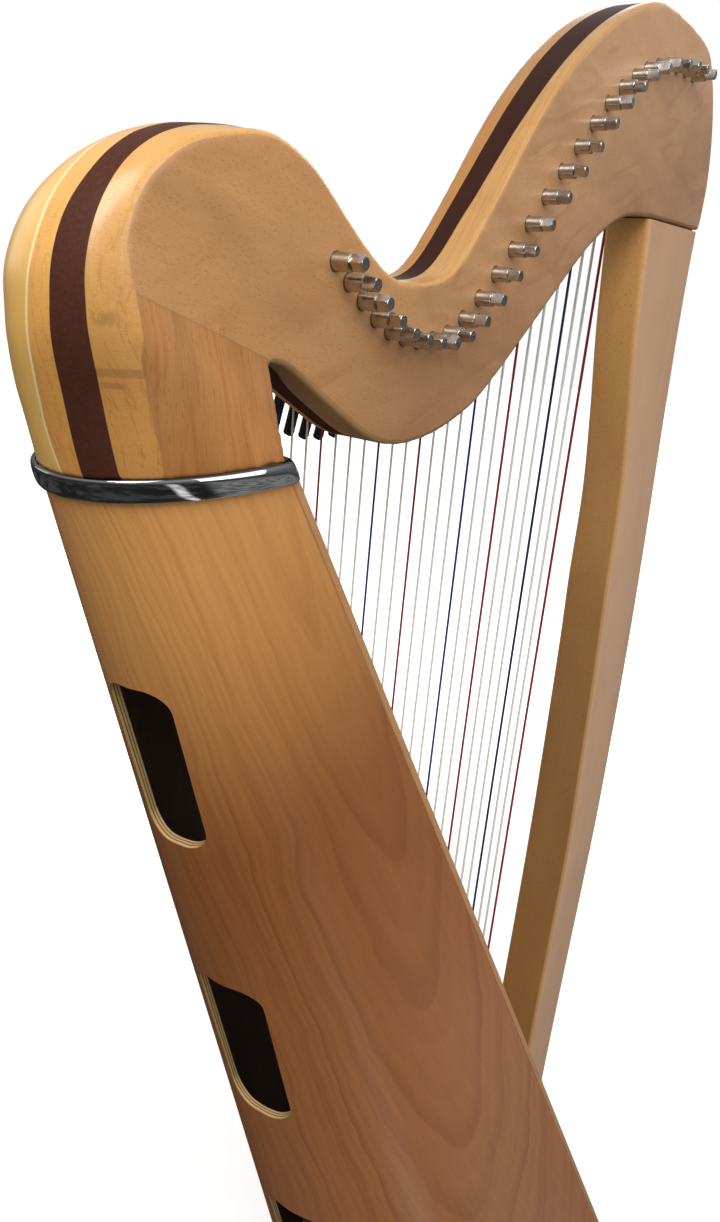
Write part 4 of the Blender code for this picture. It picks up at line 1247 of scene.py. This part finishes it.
def string_path(pin_x, pin_z, x, low, r):
    """Up from the rib to the bridge pin, then back over it to the tuning pin."""
    top = pin_z - NUT_DROP
    path = [(x, 0, low), (x, 0, low + 8), (x, 0, (low + top) / 2), (x, 0, top - 6),
            (x, 0, top - 1.2)]
    for q in range(1, 5):
        a = radians(14 * q / 4)
        path.append((x - 1.6 * (1 - cos(a)) * 1.2, 0, top - 1.2 + 1.6 * sin(a) * 3))
    path.append((pin_x - PIN_R - r, 0, pin_z))
    return path


def coil_path(pin_x, pin_z, r):
    steps = int(COIL_TURNS * 28)
    path = []
    for k in range(steps + 1):
        a = pi + 2 * pi * COIL_TURNS * k / steps
        path.append((pin_x + (PIN_R + r) * cos(a), -2.08 * r * COIL_TURNS * k / steps,
                     pin_z + (PIN_R + r) * sin(a)))
    return path


def make_strings():
    eyelets = bmesh.new()
    for i, (pin_x, pin_z) in enumerate(PINS):
        number = i + 1
        x = pin_x + STRING_DX
        r = string_radius(i)
        board_z = BOX_TOP[2] - (x - BOX_TOP[0]) / math.tan(BOX_LEAN)
        low = board_z + (RIB_LIFT + 2.0) / sin(BOX_LEAN)
        material = STRING_COLOURS.get(number, CLEAR)
        name = "string_%02d" % number
        part(name, tube_mesh(name, string_path(pin_x, pin_z, x, low, r), r, 12), material,
             smooth=60)
        seat = Vector((x, 0, board_z + RIB_LIFT / sin(BOX_LEAN))) + FACE * RIB_TALL
        lathe(eyelets, EYELET, basis(DOWN, FACE.cross(DOWN), FACE, seat * MM), 24)
        coil = tube_mesh("coil_%02d" % number, coil_path(pin_x, pin_z, r), r, 8)
        part("string_coil_%02d" % number, coil, material,
             body="tuning_pin_%02d" % number, smooth=60)
    part("string_eyelets", bm_mesh(eyelets, "string_eyelets"), BRASS, smooth=35)


# ------------------------------------------------------------------ tuning and bridge pins
PIN_PROUD = 14.8                        # out from the neck's right face
PIN_DRIVE, PIN_AF = 6.2, 5.0            # square drive: length and width across flats
PIN_END = 5.0                           # y of the string end
# dark rings of painted shade in each bore's mouth: (radius, height along the pin)
BORE_RIM = ((PIN_R + 0.04, -0.3), (PIN_R + 0.04, 0.10), (4.20, 0.07), (4.28, -0.3))
# radius and y of a bridge pin, waisted where the string bends round it
BRIDGE_PIN = ((1.9, NECK_LEFT - 0.5), (1.9, -3.2), (1.6, -2.4), (1.9, -1.9), (1.9, -1.35),
              (1.5, -0.6), (1.45, 0.0), (1.5, 0.6), (1.9, 1.35), (1.95, 2.4), (1.6, 2.9),
              (0.8, 3.15), (0.0, 3.2))


def pin_mesh():
    tip = NECK_RIGHT - PIN_PROUD        # y of the drive's free end
    root = tip + PIN_DRIVE              # y where the flats stop
    neck_r = 3.45
    profile = ((0.0, tip + 0.12), (0.8, tip + 0.08), (1.5, tip), (2.55, tip),
               (3.05, tip + 0.3), (neck_r, tip + 0.8), (neck_r, root - 0.5),
               (PIN_R - 0.12, root + 0.3), (PIN_R, root + 0.75), (PIN_R, PIN_END - 0.8),
               (PIN_R - 0.6, PIN_END), (0.0, PIN_END))
    bm = bmesh.new()
    lathe(bm, profile, TO_Y, 56)
    ob = add("pin_tmp", bm_mesh(bm, "pin"))
    tools = []
    for k in range(4):
        bm = bmesh.new()
        place = (Matrix.Rotation(radians(90 * k), 4, 'Y')
                 @ Matrix.Translation(((PIN_AF / 2 + 2.0) * MM,
                                       (tip - 2 + (root + 0.1)) / 2 * MM, 0))
                 @ Matrix.Diagonal((4 * MM, (root + 0.1 - tip + 2) * MM, 12 * MM, 1)))
        bmesh.ops.create_cube(bm, size=1.0, matrix=place)
        tools.append(add("flat_%d" % k, bm_mesh(bm, "flat_%d" % k)))
    mesh = cut_away(ob, tools, "pin_visual")
    mesh = bevelled(mesh, "pin_visual", 0.14, 2, angle=28)
    soften(mesh, 30)
    return mesh


def make_pins():
    base = pin_mesh()
    rims = bmesh.new()
    bridges = bmesh.new()
    for i, (x, z) in enumerate(PINS):
        mesh = base.copy()
        turn = radians((37 * i * i + 23 * i) % 90 + 45)     # each drive stands differently
        mesh.transform(Matrix.Translation((x * MM, 0, z * MM)) @ Matrix.Rotation(turn, 4, 'Y'))
        body = "tuning_pin_%02d" % (i + 1)
        part("pin_%02d_turned" % (i + 1), mesh, NICKEL, body=body, replaces=body)
        # painted shade: a dark ring in the mouth of the bore on both faces
        for y, outward in ((NECK_RIGHT, -1), (NECK_LEFT, 1)):
            place = (Matrix.Translation((x * MM, y * MM, z * MM))
                     @ Matrix.Rotation(radians(-90 * outward), 4, 'X'))
            rows = [circle(rims, r, h, place, 32) for r, h in BORE_RIM]
            stitch(rims, rows + rows[:1])
        bridge_x = x + STRING_DX - 1.55 - string_radius(i)
        place = Matrix.Translation((bridge_x * MM, 0, (z - NUT_DROP) * MM)) @ TO_Y
        lathe(bridges, BRIDGE_PIN, place, 24)
    part("pin_bore_rims", bm_mesh(rims, "pin_bore_rims"), SHADOW, smooth=40)
    part("bridge_pins", bm_mesh(bridges, "bridge_pins"), BRASS, smooth=35)


# ------------------------------------------------------------------ levers
LEVER_W, LEVER_T, LEVER_REACH, LEVER_HUB = 5.4, 3.2, 26.0, 3.0
LEVER_SET = -0.9                        # middle of the handle's thickness, along -Y
LEVER_TILT = radians(14.0)


def lever_mesh():
    """Flip lever hanging from its hub; the handle's two edges are ribbed."""
    w = LEVER_W / 2
    right = [(w - 0.25, 0.0)]
    z, n = -3.6, 0
    while z > -LEVER_REACH + w + 0.6:
        right.append((w - (0.0 if n % 2 else 0.32), z))
        z -= 0.52
        n += 1
    tip = []
    for q in range(0, 17):
        a = radians(-180 * q / 16)
        tip.append((w * cos(a), -LEVER_REACH + w + w * sin(a)))
    left = [(-x, z) for x, z in reversed(right)]
    bm = bmesh.new()
    bm.from_mesh(flat_solid("handle", right + tip + left, LEVER_SET - LEVER_T / 2,
                            LEVER_SET + LEVER_T / 2, UPRIGHT))
    rims = [e for e in bm.edges if e.calc_face_angle(0) > radians(75)
            and abs(e.verts[0].co.y - e.verts[1].co.y) < 1e-7]
    bmesh.ops.bevel(bm, geom=rims, offset=0.22 * MM, segments=2, affect='EDGES', profile=0.5,
                    clamp_overlap=True)
    # raised spine down the middle of the handle
    end = -LEVER_REACH
    spine = ((-0.9, -3.0), (0.9, -3.0), (0.9, end + 4.2), (0.45, end + 3.4),
             (-0.45, end + 3.4), (-0.9, end + 4.2))
    bm.from_mesh(flat_solid("spine", spine, LEVER_SET - LEVER_T / 2 - 0.28,
                            LEVER_SET + LEVER_T / 2 + 0.28, UPRIGHT, bevel=0.2, segments=2))
    hub = ((0.0, -w), (2.2, -w), (2.75, -w + 0.15), (LEVER_HUB, -w + 0.5),
           (LEVER_HUB, w - 0.5), (2.75, w - 0.15), (2.2, w), (0.0, w))
    lathe(bm, hub, TO_X, 32)
    return bm_mesh(bm, "lever_visual", recalc=False)


def add_bracket(bm, plate_x, y, z):
    """Plate beside the hub, rounded where it holds the axle, with a foot on the neck."""
    root, centre, radius = NECK_LEFT - 0.8, y - 0.5, 4.0
    outline = [(root, -radius), (centre, -radius)]
    for q in range(13):
        a = radians(-90 + 180 * q / 12)
        outline.append((centre + radius * cos(a), radius * sin(a)))
    outline.append((root, radius))
    place = basis(SIDE, Vector((0, 0, 1)), Vector((1, 0, 0)), Vector((plate_x, 0, z)) * MM)
    bm.from_mesh(flat_solid("bracket", outline, -BRACKET_T / 2, BRACKET_T / 2, place,
                            bevel=0.2, segments=2))
    place = (Matrix.Translation(Vector((plate_x + 2.3, NECK_LEFT + 0.45, z)) * MM)
             @ Matrix.Diagonal((5.4 * MM, 1.1 * MM, 8.0 * MM, 1)))
    bmesh.ops.create_cube(bm, size=1.0, matrix=place)


def make_levers():
    base = lever_mesh()
    brackets = bmesh.new()
    axles = bmesh.new()
    for number in range(2, STRINGS + 1):
        name = "lever_%02d" % number
        x, y, z = joint_place(name)
        mesh = base.copy()
        mesh.transform(Matrix.Translation(Vector((x, y, z)) * MM)
                       @ Matrix.Rotation(LEVER_TILT, 4, 'X'))
        part(name + "_flip_tab", mesh, BLACK, body=name, replaces=name,
             smooth=35)
        plate_x = x - LEVER_W / 2 - 0.5 - BRACKET_T / 2
        add_bracket(brackets, plate_x, y, z)
        # axle along x with a head at each end, then the foot's little screw
        axle = ((0.0, plate_x - 1.35), (0.9, plate_x - 1.35), (1.35, plate_x - 1.05),
                (1.45, plate_x - 0.7), (1.0, plate_x - 0.7), (1.0, x + 2.75),
                (1.35, x + 2.75), (1.35, x + 3.05), (0.9, x + 3.3), (0.0, x + 3.3))
        lathe(axles, axle, Matrix.Translation(Vector((0, y, z)) * MM) @ TO_X, 20)
        screw = Vector((plate_x + 3.2, NECK_LEFT + 1.0, z)) * MM
        lathe(axles, ((1.5, -0.1), (1.5, 0.2), (1.1, 0.55), (0.5, 0.7), (0.0, 0.72)),
              Matrix.Translation(screw) @ TO_Y, 18)
    part("lever_brackets", bm_mesh(brackets, "lever_brackets", recalc=False), NICKEL,
         smooth=35)
    part("lever_axles", bm_mesh(axles, "lever_axles"), BRASS, smooth=35)


# ------------------------------------------------------------------ base
BASE_GROW = 6.0                         # base board beyond the soundbox
FOOT = ((11.5, 0.0), (12.5, 0.6), (12.8, 2.5), (12.8, 4.6))     # radius, height


def make_base():
    n = 90
    outline = []
    for k in range(n + 1):
        t = pi * k / n
        p = box_point(box_cut(t, BOX_FOOT_Z), t, BASE_GROW)
        outline.append((p.x, p.y))
    x, mid = board_x(BOX_FOOT_Z) + 10, NECK_MID
    half = half_width(box_cut(0, BOX_FOOT_Z), BASE_GROW)
    # the front narrows to a nose under the pillar
    nose = catmull([(x, half), (x + 4, half * 0.9), (x + 6, 44), (x + 16, 22), (x + 38, 8),
                    (x + 45, mid), (x + 38, 2 * mid - 8), (x + 16, 2 * mid - 22),
                    (x + 6, 2 * mid - 44), (x + 4, -half * 0.9), (x, -half)], 10)
    outline += [(p[0], p[1]) for p in nose[1:-1]]
    mesh = flat_solid("base_board", outline, 4.0, 35.0, Matrix.Identity(4), bevel=4.0,
                      segments=5)
    part("base_board", mesh, BASE_WOOD, replaces="base", smooth=35)
    low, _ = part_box("base")
    feet = bmesh.new()
    for foot_x, foot_y in ((low.x / MM + 60, 0), (x - 18, half - 26), (x - 18, -half + 26),
                           (x + 26, mid)):
        lathe(feet, FOOT, Matrix.Translation((foot_x * MM, foot_y * MM, 0)), 40)
    part("rubber_feet", bm_mesh(feet, "rubber_feet"), RUBBER, smooth=35)


make_neck()
make_pillar()
make_shell()
make_band()
make_board()
make_rib()
make_strings()
make_pins()
make_levers()
make_base()


# ------------------------------------------------------------------ stage
FLOOR_HALF = 9.0                        # metres
# the world as reflections see it: (0 straight down to 1 straight up, brightness)
SKY = ((0.0, 0.05), (0.46, 0.06), (0.53, 0.14), (0.62, 0.28), (0.74, 0.60), (1.0, 0.65))


def floor_glow(N, x, y, distance):
    """Brightness of the floor in reflections: soft panels and one lamp by direction."""
    ux, uy = x / distance, y / distance
    panels = N.noise((x, 0.0016), (y, 0.0016), 2.3, detail=3, rough=0.6)
    patches = N.noise((x, 0.0028), (y, 0.0028), 7.1)
    right = uy.step(0.0, -0.4)
    glow = panels.step(0.44, 0.62).mad(0.05, 0.022)
    glow = glow + right * ux.step(-0.20, 0.02) * patches.step(0.42, 0.60).blend(0.10, 0.30)
    lamp = (right * abs(ux + 0.44).step(0.085, 0.02)
            * patches.step(0.40, 0.60).blend(0.5, 1.1))
    return glow + lamp


def floor_material():
    """White to the camera, mid grey as a light bounce, dark with panels in reflections."""
    N = new_material("studio_floor_white")
    rays = N.node('ShaderNodeLightPath')
    seen = Value(N, rays.outputs['Is Camera Ray'])
    x, y, _ = N.coords()
    distance = (x * x + y * y).sqrt()
    mottle = N.noise((x, 0.002), (y, 0.002), 0.0, detail=3)
    white = N.mix((0.90, 0.90, 0.90), (0.93, 0.93, 0.93), mottle)
    diffuse = N.result('ShaderNodeBsdfDiffuse', {'Color': N.mix((0.30, 0.29, 0.28), white, seen)})
    strength = seen * distance.step(500, 1500).blend(0.35, 1.0)
    light = N.result('ShaderNodeEmission', {'Color': (1.0, 1.0, 1.0), 'Strength': strength})
    plain_floor = N.result('ShaderNodeAddShader', {0: diffuse, 1: light})
    reflected = N.result('ShaderNodeEmission', {'Color': (1.0, 0.99, 0.97),
                                                'Strength': floor_glow(N, x, y, distance)})
    surface = N.result('ShaderNodeMixShader',
                       {0: rays.outputs['Is Glossy Ray'], 1: plain_floor, 2: reflected})
    N.put(N.output.inputs['Surface'], surface)
    return N.owner


def make_floor():
    bm = bmesh.new()
    bmesh.ops.create_grid(bm, x_segments=8, y_segments=8, size=FLOOR_HALF)
    floor = add("studio_floor", bm_mesh(bm, "studio_floor", recalc=False))
    floor.data.materials.append(floor_material())


def make_world(scene):
    scene.world = bpy.data.worlds.new("studio")
    N = Shader(scene.world, 'ShaderNodeOutputWorld')
    rays = N.node('ShaderNodeLightPath')
    _, _, up = N.split(N.node('ShaderNodeTexCoord').outputs['Generated'])
    sky = N.ramp(up.map01(-1, 1, 'LINEAR'), [(at, (v, v, v * 1.01)) for at, v in SKY], 'EASE')

    def background(colour, strength):
        return N.result('ShaderNodeBackground', {'Color': colour, 'Strength': strength})

    reflected = background(sky, strength=1.0)
    ambient = background((1.0, 0.985, 0.96), strength=0.46)
    backdrop = background((1.0, 1.0, 1.0), strength=1.0)
    lighting = N.result('ShaderNodeMixShader',
                        {0: rays.outputs['Is Glossy Ray'], 1: ambient, 2: reflected})
    surface = N.result('ShaderNodeMixShader',
                       {0: rays.outputs['Is Camera Ray'], 1: lighting, 2: backdrop})
    N.put(N.output.inputs['Surface'], surface)


def softbox(scene, name, place, target, size, power, colour, size_y=None):
    light = bpy.data.lights.new(name, 'AREA')
    light.energy = power
    light.size = size
    if size_y:
        light.shape = 'RECTANGLE'
        light.size_y = size_y
    light.color = colour
    ob = bpy.data.objects.new(name, light)
    ob.location = place
    aim = Vector(target) - Vector(place)
    ob.rotation_euler = aim.to_track_quat('-Z', 'Y').to_euler()
    scene.collection.objects.link(ob)


def make_lights(scene):
    softbox(scene, "key_softbox", place=(-1.15, -0.50, 2.05), target=(-0.30, -0.02, 0.95),
            size=0.8, power=15.0, colour=(1.0, 0.98, 0.95))
    softbox(scene, "low_softbox", place=(-1.30, -0.62, 1.58), target=(-0.40, -0.02, 0.95),
            size=0.36, size_y=0.60, power=2.6, colour=(1.0, 0.98, 0.95))
    softbox(scene, "right_softbox", place=(0.1, -2.2, 1.8), target=(-0.05, -0.03, 0.9),
            size=1.6, power=20.0, colour=(1.0, 0.985, 0.98))
    softbox(scene, "left_softbox", place=(-0.9, 1.9, 1.6), target=(-0.1, 0.0, 0.8),
            size=1.2, power=5.0, colour=(1.0, 0.98, 0.95))
    softbox(scene, "front_softbox", place=(1.8, 0.6, 1.5), target=(0.0, 0.0, 0.6),
            size=1.4, power=12.0, colour=(1.0, 0.99, 0.98))


CAMERA_PLACE = (-0.6044, -0.2815, 0.9808)
CAMERA_HEADING, CAMERA_PITCH, CAMERA_ROLL = radians(34.77), radians(-20.41), radians(4.956)


def make_camera(scene):
    camera = bpy.data.cameras.new("camera")
    ob = bpy.data.objects.new("camera", camera)
    scene.collection.objects.link(ob)
    aim = Vector((cos(CAMERA_HEADING) * cos(CAMERA_PITCH),
                  sin(CAMERA_HEADING) * cos(CAMERA_PITCH), sin(CAMERA_PITCH)))
    right = aim.cross(Vector((0, 0, 1))).normalized()
    up = right.cross(aim)
    ob.matrix_world = basis(cos(CAMERA_ROLL) * right + sin(CAMERA_ROLL) * up,
                            -sin(CAMERA_ROLL) * right + cos(CAMERA_ROLL) * up,
                            -aim, Vector(CAMERA_PLACE))
    camera.sensor_width = 36
    camera.sensor_fit = 'AUTO'
    camera.lens = 26.521571
    camera.clip_start = 0.01
    camera.clip_end = 60
    scene.camera = ob


scene = bpy.context.scene
scene.view_settings.view_transform = 'Standard'
scene.view_settings.look = 'None'
scene.view_settings.exposure = 0.0
scene.view_settings.gamma = 1.0
make_floor()
make_world(scene)
make_lights(scene)
make_camera(scene)
